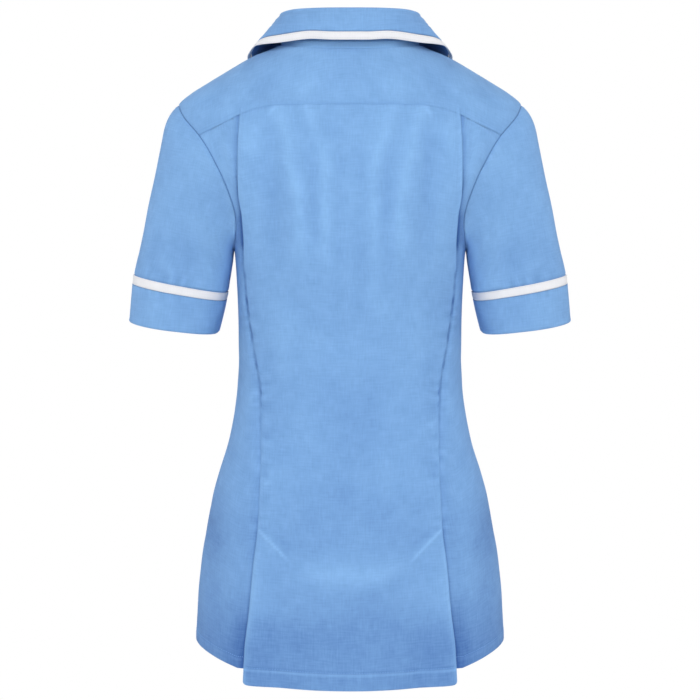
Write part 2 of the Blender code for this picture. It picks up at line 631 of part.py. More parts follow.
def collar():
    """Stand, fold and leaf in one, and the white band on the leaf's edge."""
    behind = np.linspace(0, 1, NECK_COLUMNS + 1)
    before = np.linspace(1, 2, COLLAR_FRONT_COLUMNS + 1)
    along = np.concatenate([behind, before[1:]])
    seam, into, normal = neck_seam(along)
    clear = (2 + 3 * ease(along - 1)[:, None]) * SEAM_GAP
    foot = seam + into * (COLLAR_CLOTH + clear) - normal * STAND_BELOW
    fold, edge = collar_at("fold", along), collar_at("edge", along)
    out = unit((edge - fold) * np.array((1, 1, 0)))
    inner_top = fold - (out + np.array((0, 0, 1))) * FOLD_RADIUS
    outer_top = fold + (out - np.array((0, 0, 1))) * FOLD_RADIUS
    beside, down = out * FOLD_RADIUS * FOLD_BESIDE, np.array((0, 0, FOLD_RADIUS * FOLD_DOWN))
    stand = [blend(foot, inner_top, s) for s in (0, 0.5, 1)]
    fall = edge - outer_top
    bulge = unit(np.cross(fall, np.cross(out, np.array((0, 0, 1.0))))) * LEAF_BULGE
    length = np.linalg.norm(fall, axis=-1, keepdims=True)
    leaf_end = 1 - (BAND_WIDTH + 1.5 * SEAM_GAP) / length
    band_start = 1 - BAND_WIDTH / length

    def leaf(share):
        return outer_top + fall * share - bulge * 4 * share * (1 - share)

    turned = [fold - beside - down, fold, fold + beside - down]
    leaf_rows = [leaf(leaf_end * share) for share in np.linspace(0, 1, 4)]
    wall("collar", both_halves(np.array(stand + turned + leaf_rows))[:, ::-1], COLLAR_CLOTH, blue)
    band = [leaf(blend(band_start, 1, share)) for share in (0, 0.5, 1)]
    wall("collar_band", both_halves(np.array(band))[:, ::-1], BAND_CLOTH, white)


# ---------------------------------------------------------------- main
for old in list(bpy.data.objects):
    bpy.data.objects.remove(old, do_unlink=True)
tunic = bpy.data.collections.new("medical_tunic")
bpy.context.scene.collection.children.link(tunic)
blue = material("blue_cloth", SKY_BLUE, 0.75)
white = material("white_band", WHITE, 0.7)
turns_back, turns_yoke, turns_front = armhole_turns()

centre_back()
side_back()
front("front_left", 0.0)
front("front_right", CLOTH + 1.5 * SEAM_GAP)
yoke()
cuff(sleeve())
collar()
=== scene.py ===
"""The medical tunic's cloth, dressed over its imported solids.

Metres, +Z up. The wearer faces -Y and the wearer's left side is at +X. The origin is between the
two points where the shoulder meets the neck. Each piece of cloth is a fine grid of points laid on
the same form as its solid, with creases, seams and hems added along the form's normal, and then
given a thin wall inwards.
"""

import math

import bpy
import numpy as np
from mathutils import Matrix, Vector


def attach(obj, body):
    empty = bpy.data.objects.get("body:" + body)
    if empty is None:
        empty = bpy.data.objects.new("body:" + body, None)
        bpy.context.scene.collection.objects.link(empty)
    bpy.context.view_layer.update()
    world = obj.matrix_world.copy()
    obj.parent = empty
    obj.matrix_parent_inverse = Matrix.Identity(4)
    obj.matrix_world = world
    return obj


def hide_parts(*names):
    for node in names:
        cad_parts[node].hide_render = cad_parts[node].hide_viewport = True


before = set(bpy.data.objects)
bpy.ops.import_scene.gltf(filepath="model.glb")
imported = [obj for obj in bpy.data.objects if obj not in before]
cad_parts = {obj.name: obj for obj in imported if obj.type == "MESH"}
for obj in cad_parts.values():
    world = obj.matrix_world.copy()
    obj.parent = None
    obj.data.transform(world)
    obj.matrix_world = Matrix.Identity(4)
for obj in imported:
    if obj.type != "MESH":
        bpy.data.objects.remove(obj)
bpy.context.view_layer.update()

# ---------------------------------------------------------------- driving dimensions
CLOTH = 0.0010  # wall of one layer of the body cloth
COLLAR_CLOTH = 0.0013  # the collar and the cuffs are interlined, so a little thicker
SEAM_GAP = 0.0003  # daylight between two pieces at a seam

SHOULDER_TIP_Z = -0.069  # where the sleeve meets the shoulder line
UNDERARM_Z = -0.233
ARMHOLE_BACK = 0.066  # reach of the armhole behind the side seam
ARMHOLE_FRONT = 0.072  # and in front of it
ARMHOLE_EGG = 0.18  # how much fuller the armhole is below its middle

NECK_HALF_WIDTH = 0.077
NECK_BACK = 0.069  # from the shoulder line to the back of the neck
V_DEPTH = 0.112  # from the shoulder line to the foot of the front neckline
V_CURVE = 1.1  # 1 is a straight neckline, more is hollower
FRONT_OVERLAP = 0.015  # each front runs this far past the centre
FRONT_YOKE_SEAM_Y = -0.018  # the yoke reaches this far over the shoulder
FRONT_LIFT_ENDS = 0.055  # the front that laps over comes down onto the form this far out
FRONT_LIFT_FADES = 0.038  # over this width
YOKE_CORNER_TRIM = 0.014  # turn of the armhole left free between the side back and the yoke
LAP_STRIP_DROP = 0.012  # the strip beside the lap reaches this far down the shoulder
ARMHOLE_EASE = 1.5 * SEAM_GAP  # the body panels and the yoke stop this far outside the armhole
FRONT_SEAM_EASE = 2.5 * SEAM_GAP  # the fronts stop this far before the yoke
BACK_SEAM_EASE = 2 * SEAM_GAP  # the centre back stops this far below the yoke
SIDE_SEAM_EASE = 3 * SEAM_GAP  # and the side backs this far

HEM_BACK_CENTRE = -0.7160
HEM_BACK_CORNER = -0.7105
HEM_VENT = -0.6950  # the side back is a little shorter at the vent
HEM_SIDE = -0.6735
HEM_FRONT = -0.7000
HEM_CURVE = 1.5  # 1 is a straight hem from the side seam to the vent, more is flatter at the side

# The form that fills the body, one row for each level, from the neck down.
# Half the width, the depth behind and before the side seam, and how square the back and
# front of the level are: 2 is an ellipse, more is squarer.
FORM_COLUMNS = ("height", "half_width", "back", "front", "back_square", "front_square")
FORM = (
    (0.0100, 0.0500, 0.048, 0.036, 2.0, 2.0),
    (0.0000, 0.0770, 0.060, 0.046, 2.0, 2.0),
    (-0.0146, 0.1110, 0.070, 0.056, 2.0, 2.0),
    (-0.0280, 0.1350, 0.077, 0.064, 2.0, 2.0),
    (-0.0400, 0.1550, 0.082, 0.071, 2.0, 2.0),
    (-0.0560, 0.1800, 0.087, 0.080, 2.0, 2.0),
    (-0.0690, 0.1950, 0.090, 0.087, 2.0, 2.0),
    (-0.0840, 0.1985, 0.093, 0.095, 2.1, 2.1),
    (-0.1080, 0.1910, 0.097, 0.107, 2.2, 2.2),
    (-0.1440, 0.1770, 0.103, 0.123, 2.3, 2.3),
    (-0.1740, 0.1610, 0.106, 0.138, 2.3, 2.4),
    (-0.2050, 0.1420, 0.106, 0.150, 2.3, 2.5),
    (-0.2360, 0.1310, 0.104, 0.158, 2.3, 2.5),
    (-0.2620, 0.1290, 0.100, 0.160, 2.3, 2.5),
    (-0.3000, 0.1270, 0.092, 0.150, 2.2, 2.4),
    (-0.3500, 0.1263, 0.084, 0.127, 2.2, 2.3),
    (-0.3900, 0.1280, 0.083, 0.115, 2.2, 2.2),
    (-0.4200, 0.1318, 0.086, 0.112, 2.2, 2.2),
    (-0.4500, 0.1380, 0.092, 0.112, 2.2, 2.2),
    (-0.4850, 0.1485, 0.101, 0.115, 2.2, 2.2),
    (-0.5180, 0.1572, 0.110, 0.118, 2.2, 2.2),
    (-0.5520, 0.1635, 0.118, 0.121, 2.2, 2.2),
    (-0.5900, 0.1690, 0.125, 0.124, 2.2, 2.2),
    (-0.6300, 0.1727, 0.127, 0.126, 2.2, 2.2),
    (-0.6700, 0.1743, 0.126, 0.127, 2.2, 2.2),
    (-0.7200, 0.1748, 0.123, 0.127, 2.2, 2.2),
)

# The side edge of the centre back, from the yoke seam to the hem: pleat, then seam, then vent.
# How far out it is, how far its folded edge stands off the form, how much of it is turned
# under, and how far the side back runs under it.
EDGE_COLUMNS = ("height", "out", "proud", "turned", "lap")
EDGE = (
    (-0.0772, 0.1220, 0.0010, 0.012, 0.016),
    (-0.0900, 0.1222, 0.0024, 0.012, 0.016),
    (-0.1061, 0.1222, 0.0046, 0.012, 0.016),
    (-0.1652, 0.1207, 0.0058, 0.012, 0.016),
    (-0.1947, 0.1162, 0.0058, 0.012, 0.016),
    (-0.2241, 0.1146, 0.0052, 0.012, 0.016),
    (-0.2474, 0.1158, 0.0036, 0.010, 0.014),
    (-0.2707, 0.1163, 0.0012, 0.007, 0.010),
    (-0.3024, 0.1135, 0.0010, 0.006, 0.008),
    (-0.3631, 0.1043, 0.0010, 0.006, 0.008),
    (-0.3887, 0.0999, 0.0010, 0.006, 0.008),
    (-0.4770, 0.0985, 0.0010, 0.006, 0.008),
    (-0.5141, 0.0998, 0.0010, 0.006, 0.008),
    (-0.5464, 0.1010, 0.0012, 0.008, 0.012),
    (-0.5810, 0.1039, 0.0036, 0.014, 0.020),
    (-0.6383, 0.1075, 0.0070, 0.014, 0.022),
    (-0.6753, 0.1106, 0.0095, 0.014, 0.022),
    (-0.7160, 0.1119, 0.0110, 0.014, 0.022),
)
SIDE_BACK_TOP = -0.0885  # where the side back's edge beside the pleat meets the yoke seam
TURN_RADIUS = CLOTH + SEAM_GAP  # outside radius of the folded edge
PROUD_REACH = 0.040  # the edge lifts over this width of the centre back
DIP_REACH = 0.012  # the side back dips under the edge over this width
DIP_SHARE = 0.4  # or over this share of the panel's width there, if that is less
DIP_SPARED = 0.75  # the edge's lift saves this share of itself from the dip

# The yoke seam across the back: its height at each distance from the centre.
YOKE_SEAM_COLUMNS = ("out", "height")
YOKE_SEAM = (
    (0.000, -0.0772),
    (0.076, -0.0772),
    (0.100, -0.0800),
    (0.122, -0.0872),
    (0.140, -0.0955),
    (0.169, -0.1075),
    (0.190, -0.1160),
)

# The largest soft folds: ridges and, with a height below nought, troughs. The distance from the
# centre and the height of each end, half the fold's width and how high it stands. Each lies on
# both sides of the centre. Columns: top_out, top_z, foot_out, foot_z, half_width, height.
FOLD_STARTS, FOLD_ENDS = 0.25, 0.35  # a fold fades over these shares of its length
BACK_FOLDS = (
    (0.000, -0.085, 0.000, -0.400, 0.034, -0.0026),
    (0.066, -0.080, 0.052, -0.290, 0.026, 0.0030),
    (0.000, -0.520, 0.000, -0.660, 0.090, 0.0030),
)
FRONT_FOLDS = (
    (0.075, -0.230, 0.066, -0.400, 0.030, 0.0030),
    (0.000, -0.280, 0.000, -0.440, 0.040, -0.0020),
    (0.085, -0.480, 0.090, -0.690, 0.034, 0.0030),
)

# The collar's left half. along is 0 at the centre back, 1 where the neckline passes the yoke's
# front seam and 2 at the collar's end. The top of the fold, and the edge of the leaf.
COLLAR_COLUMNS = ("along", "fold_x", "fold_y", "fold_z", "edge_x", "edge_y", "edge_z")
COLLAR = (
    (0.00, 0.0000, 0.0700, 0.0318, 0.0000, 0.0800, -0.0054),
    (0.15, 0.0171, 0.0685, 0.0320, 0.0195, 0.0780, -0.0051),
    (0.35, 0.0400, 0.0620, 0.0326, 0.0455, 0.0697, -0.0031),
    (0.65, 0.0660, 0.0430, 0.0335, 0.0825, 0.0530, -0.0050),
    (0.85, 0.0765, 0.0190, 0.0335, 0.1080, 0.0300, -0.0042),
    (0.93, 0.0775, 0.0030, 0.0320, 0.1176, 0.0145, -0.0080),
    (1.00, 0.0770, -0.0130, 0.0280, 0.1228, -0.0030, -0.0130),
    (1.15, 0.0722, -0.0300, 0.0165, 0.1215, -0.0290, -0.0215),
    (1.30, 0.0660, -0.0470, 0.0040, 0.1195, -0.0530, -0.0390),
    (1.65, 0.0420, -0.0800, -0.0390, 0.0980, -0.0930, -0.0860),
    (2.00, 0.0060, -0.1070, -0.0830, 0.0640, -0.1190, -0.1280),
)
COLLAR_END_X = 0.005
FOLD_RADIUS = 0.0032
STAND_BELOW = 0.0030  # the stand's foot reaches this far through the neck hole
LEAF_HOLLOW = 0.0035  # the leaf is this hollow between the fold and its edge
LEAF_TURN, LEAF_TURN_WIDTH = 2.6, 0.16  # but bulges where it turns over the shoulder
LEAF_CURL, CURL_SHARE = 0.0056, 0.32  # there its last share curls in this far, under the tape
BAND_WIDTH = 0.0095

# Rings of the left sleeve's lower end: centre, half the width and depth, and how far the ring
# leans out and forward, in degrees. The first is the band's upper edge, the second the cuff's
# lower edge.
RING_COLUMNS = ("down", "x", "y", "z", "half_width", "half_depth", "lean_out", "lean_forward")
RINGS = (
    (0.000, 0.1932, -0.0120, -0.2701, 0.0537, 0.0490, 10.3, 6.0),
    (0.050, 0.2015, -0.0175, -0.3195, 0.0505, 0.0480, 6.7, 8.0),
)
UNDERARM_OFF = 0.0008  # at the underarm the sleeve starts this far off the body
SLEEVE_INSIDE_CUFF = 0.013
CUFF_TURNED_IN = 0.022
CUFF_OFF = 0.0017  # the cuff's outer face stands this far off the sleeve
ARM_LEAN_OUT, ARM_LEAN_FORWARD = 12.0, 6.0  # how the sleeve hangs, in degrees
RING_DRIFT = 0.15  # beyond the rings, the sleeve's centre moves out this much for each unit down
CAP_DEPTH = 0.036  # down the arm, the cloth turns from the shoulder's slope to the arm's
CAP_CORNER = 0.85  # where in that depth the turn has its corner
CAP_CORNER_TOP = 0.66  # and on the shoulder, where the turn is softer
BACK_SQUARE = 1.1  # how much squarer than an ellipse the sleeve is behind, on the body side
CAP_SHARE = 0.8  # the most of a column's length that the turn takes
SLEEVE_FLARE = 0.7  # how straight the back and front of the sleeve run to the armhole
SEAM_SOFTNESS = 0.0020  # how softly the sleeve's back is held clear of the armhole seam

# ---------------------------------------------------------------- finish of the cloth
WALL = 0.0007  # one layer of the body cloth, thinner than its solid so that nothing rubs
COLLAR_WALL = 0.0010
BAND_WALL = 0.0011
HEM_RADIUS = 0.0010  # the hems turn under round this
HEM_BACK_DEPTH = 0.0194  # from the edge to the stitching, on the centre back
HEM_SIDE_DEPTH = 0.0125  # and on the side backs and the fronts
HEM_UNDER = 0.0025  # the turned part runs this far past its stitching
SEAM_ROLL, SEAM_SINK = 0.0017, 0.0009  # a sewn edge rolls inwards over this width, this deep
UNDER_RUN = np.array((0.0004, 0.0018, 0.0045, 0.0075))  # seam allowances: how far under
UNDER_DEPTH = np.array((0.0001, 0.0003, 0.0004, 0.0004))  # and how much deeper than the edge
SLEEVE_UNDER = np.array((0.0040, 0.0018, 0.0005))  # the sleeve's allowance, out past the armhole
SLEEVE_UNDER_DEPTH = np.array((0.0017, 0.0016, 0.0013))
CORNER_RADIUS = 0.0045  # the centre back's corners are rounded
PLEAT_HOLLOW = 0.0085  # the side back sinks this much beside the open pleat
COLLAR_BAND_WIDTH = 0.0087
STAND_TAPE = 0.0052  # the stand's lower seam shows this far above the neck seam
STITCH_PITCH, STITCH_LENGTH, STITCH_RADIUS = 0.0028, 0.0021, 0.00023

# Rows and columns of the fine cloth.
BACK_ROWS, BACK_COLUMNS = 236, 118
SIDE_ROWS = 156
ARMHOLE_PARTS = (62, 40, 84)
SIDE_BACK_COLUMNS, DIP_COLUMNS, LAP_COLUMNS = 36, 9, 7
FRONT_COLUMNS, FRONT_STRIP_COLUMNS, FRONT_LAP_ROWS = 76, 10, 44
NECK_COLUMNS, SHOULDER_COLUMNS = 62, 60
CAP_ROWS, ARM_ROWS, TAIL_ROWS = 34, 56, 5
CUFF_ROWS, FOLD_ROWS, TURNED_ROWS, BAND_ROWS = 18, 8, 9, 10
COLLAR_BACK_COLUMNS, COLLAR_FRONT_COLUMNS, LEAF_ROWS = 70, 76, 24

# Creases: soft strokes that stand off the cloth, or sink into it below nought. Each runs from a
# start to an end, how far out and how high, bows sideways, fades at both ends and has a hump of
# the half width across. tone is painted light on what stands proud and painted shade on what
# sinks.
# Columns: out, up, end_out, end_up, bow, half_width, height, tone.

# On the back, the same on both sides of the centre.
BACK_CREASES = (
    # upper back: two soft ridges that hang from the yoke, with troughs between them
    (0.0860, -0.050, 0.0520, -0.205, 0.001, 0.0085, 0.0015, 0.75),
    (0.0560, -0.150, 0.0540, -0.255, 0.001, 0.0090, 0.0009, 0.50),
    (0.0590, -0.046, 0.0235, -0.165, 0.002, 0.0072, 0.0011, 0.65),
    (0.0255, -0.100, 0.0250, -0.285, -0.001, 0.0080, 0.0011, 0.62),
    (0.0415, -0.100, 0.0405, -0.300, 0.001, 0.0075, -0.0010, -0.45),
    (0.0860, -0.092, 0.0790, -0.285, -0.002, 0.0110, -0.0013, -0.50),
    (0.0125, -0.080, 0.0130, -0.370, 0.001, 0.0095, -0.0006, -0.30),
    (0.1090, -0.084, 0.1140, -0.140, 0.002, 0.0100, 0.0010, 0.60),
    (0.1000, -0.150, 0.1060, -0.260, 0.003, 0.0120, 0.0008, 0.25),
    # the crease that the top of the pleat pulls out of the yoke seam
    (0.0915, -0.0915, 0.0795, -0.0765, 0.000, 0.0022, 0.0006, 0.80),
    (0.0950, -0.0850, 0.0860, -0.0760, 0.000, 0.0025, -0.0004, -0.35),
    # waist
    (0.0780, -0.290, 0.0700, -0.420, 0.003, 0.0140, 0.0010, 0.30),
    (0.0950, -0.330, 0.0900, -0.440, 0.001, 0.0100, -0.0010, -0.45),
    (0.0420, -0.310, 0.0480, -0.500, -0.003, 0.0150, 0.0008, 0.22),
    # small gathers that the seam between the pleat and the vent makes
    (0.0990, -0.372, 0.0850, -0.380, 0.001, 0.0032, 0.0005, 0.45),
    (0.0985, -0.398, 0.0800, -0.392, -0.001, 0.0040, 0.0005, 0.40),
    (0.0980, -0.424, 0.0860, -0.434, 0.001, 0.0038, 0.0006, 0.55),
    (0.0975, -0.437, 0.0880, -0.449, 0.000, 0.0030, -0.0005, -0.45),
    (0.0975, -0.458, 0.0830, -0.447, 0.002, 0.0042, 0.0005, 0.45),
    (0.0970, -0.476, 0.0900, -0.487, 0.000, 0.0028, -0.0006, -0.60),
    (0.0975, -0.496, 0.0820, -0.492, 0.001, 0.0020, 0.0006, 0.70),
    (0.0980, -0.506, 0.0860, -0.512, 0.001, 0.0030, -0.0004, -0.35),
    # the bright crease that runs in from the top of the vent, and the shade above it
    (0.1120, -0.5325, 0.0600, -0.5830, 0.001, 0.0016, 0.0010, 1.70),
    (0.0960, -0.5370, 0.0600, -0.5690, 0.001, 0.0048, -0.0008, -0.40),
    (0.0960, -0.5680, 0.0720, -0.6050, -0.003, 0.0090, -0.0007, -0.25),
    # beside the vent
    (0.1010, -0.560, 0.1060, -0.655, -0.002, 0.0110, 0.0010, 0.45),
    (0.0860, -0.600, 0.0900, -0.668, 0.002, 0.0110, -0.0009, -0.20),
    (0.0980, -0.650, 0.0600, -0.690, 0.004, 0.0230, -0.0005, -0.05),
    (0.0640, -0.628, 0.0560, -0.710, 0.004, 0.0240, -0.0004, -0.10),
)
# Across the centre: the light band over the seat and the shade below it.
SEAT_CREASES = (
    (-0.0740, -0.5740, 0.0740, -0.5740, 0.0190, 0.0125, 0.0012, 1.30),
    (-0.0460, -0.5600, 0.0460, -0.5600, 0.0140, 0.0090, 0.0004, 0.25),
    (-0.1050, -0.6220, 0.1050, -0.6220, 0.0120, 0.0200, -0.0012, -0.30),
    (0.0000, -0.0790, 0.0000, -0.3300, 0.0000, 0.0075, 0.0003, 0.10),
    (0.0000, -0.3600, 0.0000, -0.5200, 0.0030, 0.0200, -0.0006, -0.10),
)
# What the two sides don't share, on the back.
ODD_BACK_CREASES = (
    (0.0300, -0.440, 0.0500, -0.540, 0.004, 0.0120, 0.0006, 0.18),
    (-0.0230, -0.455, -0.0560, -0.530, -0.004, 0.0100, 0.0006, 0.16),
    (0.0640, -0.250, 0.0560, -0.330, 0.002, 0.0100, -0.0005, -0.16),
    (-0.0600, -0.262, -0.0660, -0.350, -0.002, 0.0090, -0.0005, -0.16),
    (-0.0250, -0.610, -0.0700, -0.640, 0.004, 0.0080, 0.0005, 0.15),
    (0.0150, -0.628, 0.0520, -0.652, -0.003, 0.0090, 0.0005, 0.14),
)
# On the side backs, both sides.
SIDE_BACK_CREASES = (
    (0.1540, -0.500, 0.1500, -0.640, -0.003, 0.0100, -0.0012, -0.35),
    (0.1330, -0.480, 0.1300, -0.620, 0.003, 0.0120, 0.0012, 0.35),
    (0.1180, -0.560, 0.1250, -0.690, 0.002, 0.0090, -0.0012, -0.50),
    (0.1150, -0.365, 0.1200, -0.450, 0.002, 0.0080, 0.0007, 0.30),
    (0.1040, -0.395, 0.1160, -0.405, 0.001, 0.0035, 0.0004, 0.40),
    (0.1030, -0.430, 0.1140, -0.422, 0.001, 0.0035, -0.0004, -0.35),
    (0.1030, -0.462, 0.1160, -0.470, 0.001, 0.0040, 0.0004, 0.40),
    (0.1040, -0.497, 0.1180, -0.505, 0.001, 0.0045, 0.0005, 0.45),
    (0.1050, -0.520, 0.1150, -0.532, 0.001, 0.0035, -0.0004, -0.30),
    (0.1420, -0.105, 0.1330, -0.170, 0.002, 0.0080, 0.0007, 0.35),
)
# On the fronts, both sides, then what only one side has.
FRONT_CREASES = (
    (0.0900, -0.150, 0.1150, -0.235, 0.004, 0.0110, -0.0016, -0.45),
    (0.1050, -0.150, 0.1220, -0.225, 0.004, 0.0080, 0.0012, 0.50),
    (0.0720, -0.260, 0.0560, -0.400, 0.004, 0.0110, 0.0016, 0.55),
    (0.0400, -0.280, 0.0360, -0.420, 0.002, 0.0110, -0.0014, -0.40),
    (0.1180, -0.250, 0.0820, -0.215, 0.004, 0.0070, -0.0013, -0.55),
    (0.1200, -0.295, 0.0860, -0.250, 0.004, 0.0070, 0.0012, 0.55),
    (0.1200, -0.322, 0.0940, -0.300, 0.003, 0.0060, 0.0008, 0.35),
    (0.1080, -0.345, 0.0850, -0.420, 0.003, 0.0100, -0.0012, -0.45),
    (0.1180, -0.375, 0.0950, -0.440, 0.003, 0.0080, 0.0010, 0.40),
    (0.0900, -0.460, 0.1000, -0.660, 0.004, 0.0120, 0.0018, 0.55),
    (0.0640, -0.480, 0.0680, -0.680, -0.003, 0.0120, -0.0015, -0.45),
    (0.1300, -0.520, 0.1360, -0.665, 0.003, 0.0110, -0.0014, -0.40),
    (0.0340, -0.500, 0.0300, -0.650, 0.002, 0.0110, 0.0010, 0.30),
    (0.1480, -0.120, 0.1300, -0.175, 0.003, 0.0090, -0.0012, -0.45),
)
ODD_FRONT_CREASES = (
    (0.0300, -0.560, 0.0480, -0.690, 0.003, 0.0110, 0.0008, 0.22),
    (-0.0350, -0.520, -0.0260, -0.650, -0.003, 0.0100, 0.0008, 0.22),
    (0.0950, -0.380, 0.0600, -0.345, 0.003, 0.0070, -0.0006, -0.20),
    (-0.0980, -0.395, -0.0680, -0.350, -0.003, 0.0080, -0.0006, -0.20),
    (-0.0450, -0.190, -0.0800, -0.260, 0.003, 0.0100, 0.0006, 0.18),
)
# On the yoke, both sides: out and up as seen from behind.
YOKE_CREASES = (
    (0.0350, -0.036, 0.0640, -0.070, 0.003, 0.0100, 0.0006, 0.40),
    (0.0080, -0.048, 0.0180, -0.074, 0.001, 0.0080, 0.0004, 0.22),
    (0.0720, -0.030, 0.1180, -0.076, 0.003, 0.0100, -0.0008, -0.40),
    (0.1050, -0.046, 0.1500, -0.086, 0.003, 0.0100, 0.0008, 0.40),
    (0.1350, -0.048, 0.1720, -0.086, 0.002, 0.0080, -0.0006, -0.30),
)
# On the sleeves: out is the turn round the arm in degrees over 1000, from the body side by the
# back, and up is the height.
TURN_UNIT = 1000.0
SLEEVE_CREASES = (
    (0.1240, -0.218, 0.0760, -0.262, 0.004, 0.0110, -0.0010, -0.40),
    (0.1330, -0.240, 0.0940, -0.268, 0.003, 0.0060, 0.0010, 0.50),
    (0.1420, -0.175, 0.1300, -0.250, 0.003, 0.0090, -0.0009, -0.30),
    (0.0960, -0.190, 0.0620, -0.240, 0.003, 0.0120, 0.0012, 0.35),
    (0.0660, -0.238, 0.0380, -0.262, 0.002, 0.0070, -0.0008, -0.25),
    (0.1120, -0.110, 0.1020, -0.180, 0.004, 0.0150, 0.0009, 0.30),
    (0.0250, -0.235, 0.0200, -0.268, 0.001, 0.0060, 0.0008, 0.30),
    (0.2100, -0.150, 0.2350, -0.250, 0.004, 0.0120, -0.0012, -0.30),
    (0.2450, -0.190, 0.2850, -0.260, 0.004, 0.0110, 0.0012, 0.30),
    (0.3000, -0.205, 0.2700, -0.265, 0.003, 0.0090, -0.0012, -0.35),
    (0.3250, -0.215, 0.3150, -0.262, 0.002, 0.0080, 0.0010, 0.30),
)
# On the cuffs: out as on the sleeves, and up is how far below the band's upper edge.
CUFF_CREASES = (
    (0.0300, 0.012, 0.0420, 0.046, 0.002, 0.0060, 0.0004, 0.25),
    (0.0700, 0.012, 0.0640, 0.046, 0.002, 0.0070, -0.0004, -0.25),
    (0.1120, 0.012, 0.1180, 0.046, 0.002, 0.0070, 0.0004, 0.20),
    (0.1500, 0.012, 0.1440, 0.046, 0.002, 0.0060, -0.0004, -0.20),
    (0.2300, 0.012, 0.2360, 0.046, 0.002, 0.0080, 0.0005, 0.25),
    (0.2900, 0.012, 0.2840, 0.046, 0.002, 0.0070, -0.0004, -0.20),
)
# On the collar's leaf: out is how far along it is, 0 at the centre back and 2 at the end, and up
# the share of the leaf from the fold to the band.
COLLAR_CREASES = (
    (0.050, 0.55, 0.450, 0.62, 0.00, 0.1600, 0.0004, 0.22),
    (0.480, 0.20, 0.800, 0.62, 0.02, 0.0900, -0.0005, -0.22),
    (0.620, 0.10, 0.980, 0.45, 0.02, 0.0700, 0.0004, 0.20),
    (1.150, 0.30, 1.500, 0.60, 0.02, 0.1000, 0.0005, 0.22),
    (1.560, 0.40, 1.850, 0.60, 0.02, 0.0900, -0.0004, -0.18),
)
# Long shallow swell all over, as waves: cycles per metre out and up, where they start, height.
SWELL = (
    (9.0, 5.0, 0.3, 0.00022),
    (-7.0, 11.0, 1.9, 0.00018),
    (23.0, 6.0, 4.1, 0.00010),
    (-17.0, 19.0, 2.6, 0.00009),
    (31.0, -14.0, 5.2, 0.00006),
)
# Painted light and shade: a metre that a pucker or the swell stands proud lightens the cloth by so
# much, and a metre that it sinks darkens it.
PUCKER_TONE = 1500.0  # how much a metre of pucker lightens the cloth
SWELL_TONE = 420.0  # how much a metre of swell lightens the cloth

# Broad shades that the light and the cloth's fall make, apart from any crease. Columns: tone;
# start, full, last and end, the heights between which it comes in and goes out; reach, how far
# from the panel's edge it goes, or 0 for all across; out_start and out_full, how far from the
# centre it comes in.
TO_TOP, TO_HEM = (0.9, 1.0), (-0.9, -1.0)  # last and end of a shade that doesn't go out
ALL_OUT = (-1.0, -0.5)
BACK_SHADES = (
    (0.40, -0.240, -0.215, *TO_TOP, 0.0024, *ALL_OUT),
    (0.40, -0.540, -0.575, *TO_HEM, 0.0024, *ALL_OUT),
    (0.60, -0.600, -0.660, *TO_HEM, 0.0050, *ALL_OUT),
    (-1.30, -0.618, -0.676, *TO_HEM, 0, *ALL_OUT),
    (-0.70, -0.618, -0.676, *TO_HEM, 0, 0.020, 0.095),
    (-0.18, -0.340, -0.400, *TO_HEM, 0, *ALL_OUT),
    (-0.17, -0.340, -0.400, *TO_HEM, 0, 0.088, 0.030),
    (-0.32, -0.480, -0.520, -0.645, -0.680, 0, *ALL_OUT),
    (-0.20, -0.480, -0.520, -0.645, -0.680, 0, 0.088, 0.030),
)
SIDE_SHADES = (
    (-0.80, -0.275, -0.250, *TO_TOP, 0.0042, *ALL_OUT),
    (-0.60, -0.242, -0.226, *TO_TOP, 0.0042, *ALL_OUT),
    (-0.90, -0.275, -0.250, -0.182, -0.160, 0.0026, *ALL_OUT),
    (-2.10, -0.242, -0.226, -0.182, -0.160, 0.0026, *ALL_OUT),
    (-1.50, -0.236, -0.222, -0.205, -0.185, 0, *ALL_OUT),
    (-0.70, -0.440, -0.560, *TO_HEM, 0, 0.115, 0.155),
    (-1.50, -0.525, -0.550, *TO_HEM, 0.0022, *ALL_OUT),
    (-1.80, -0.580, -0.692, *TO_HEM, 0, *ALL_OUT),
    (-2.10, -0.580, -0.692, *TO_HEM, 0.020, *ALL_OUT),
)
FRONT_SHADES = (
    (-0.70, -0.440, -0.560, *TO_HEM, 0.060, *ALL_OUT),
    (-1.80, -0.580, -0.692, *TO_HEM, 0.060, *ALL_OUT),
)
# The yoke's reach is from COLLAR_SHADE_OUT, and the sleeve's in degrees from INNER_TURN.
COLLAR_SHADE_OUT, INNER_TURN = 0.112, 24.0
YOKE_SHADES = ((-0.80, -0.045, -0.020, *TO_TOP, 0.016, *ALL_OUT),)
# On the sleeve the second row is painted light on its inner back, which turns from the light.
SLEEVE_SHADES = (
    (-0.40, -0.200, -0.265, *TO_HEM, 0, *ALL_OUT),
    (3.00, -0.165, -0.235, *TO_HEM, 31.0, *ALL_OUT),
)
# Painted shade round a height. Columns: tone, height, half_height, reach.
BACK_SHADE_BANDS = ((-0.60, -0.310, 0.030, 0.020), (-0.35, -0.420, 0.090, 0))
SIDE_SHADE_BANDS = (
    (-0.60, -0.430, 0.090, 0),
    (-0.50, -0.245, 0.035, 0),
    (-1.00, -0.548, 0.048, 0),
    (-0.60, -0.305, 0.030, 0),
)
FRONT_SHADE_BANDS = ((-0.50, -0.430, 0.090, 0.060), (-1.00, -0.535, 0.050, 0.060))
PAINTED_LIGHT_UNDER_LEAF, PAINTED_LIGHT_REACH = 1.8, 0.011  # painted light on the yoke under the collar's leaf, which lightens the leaf's shadow there
PAINTED_LIGHT_OUT, PAINTED_LIGHT_WIDTH = 0.066, 0.026
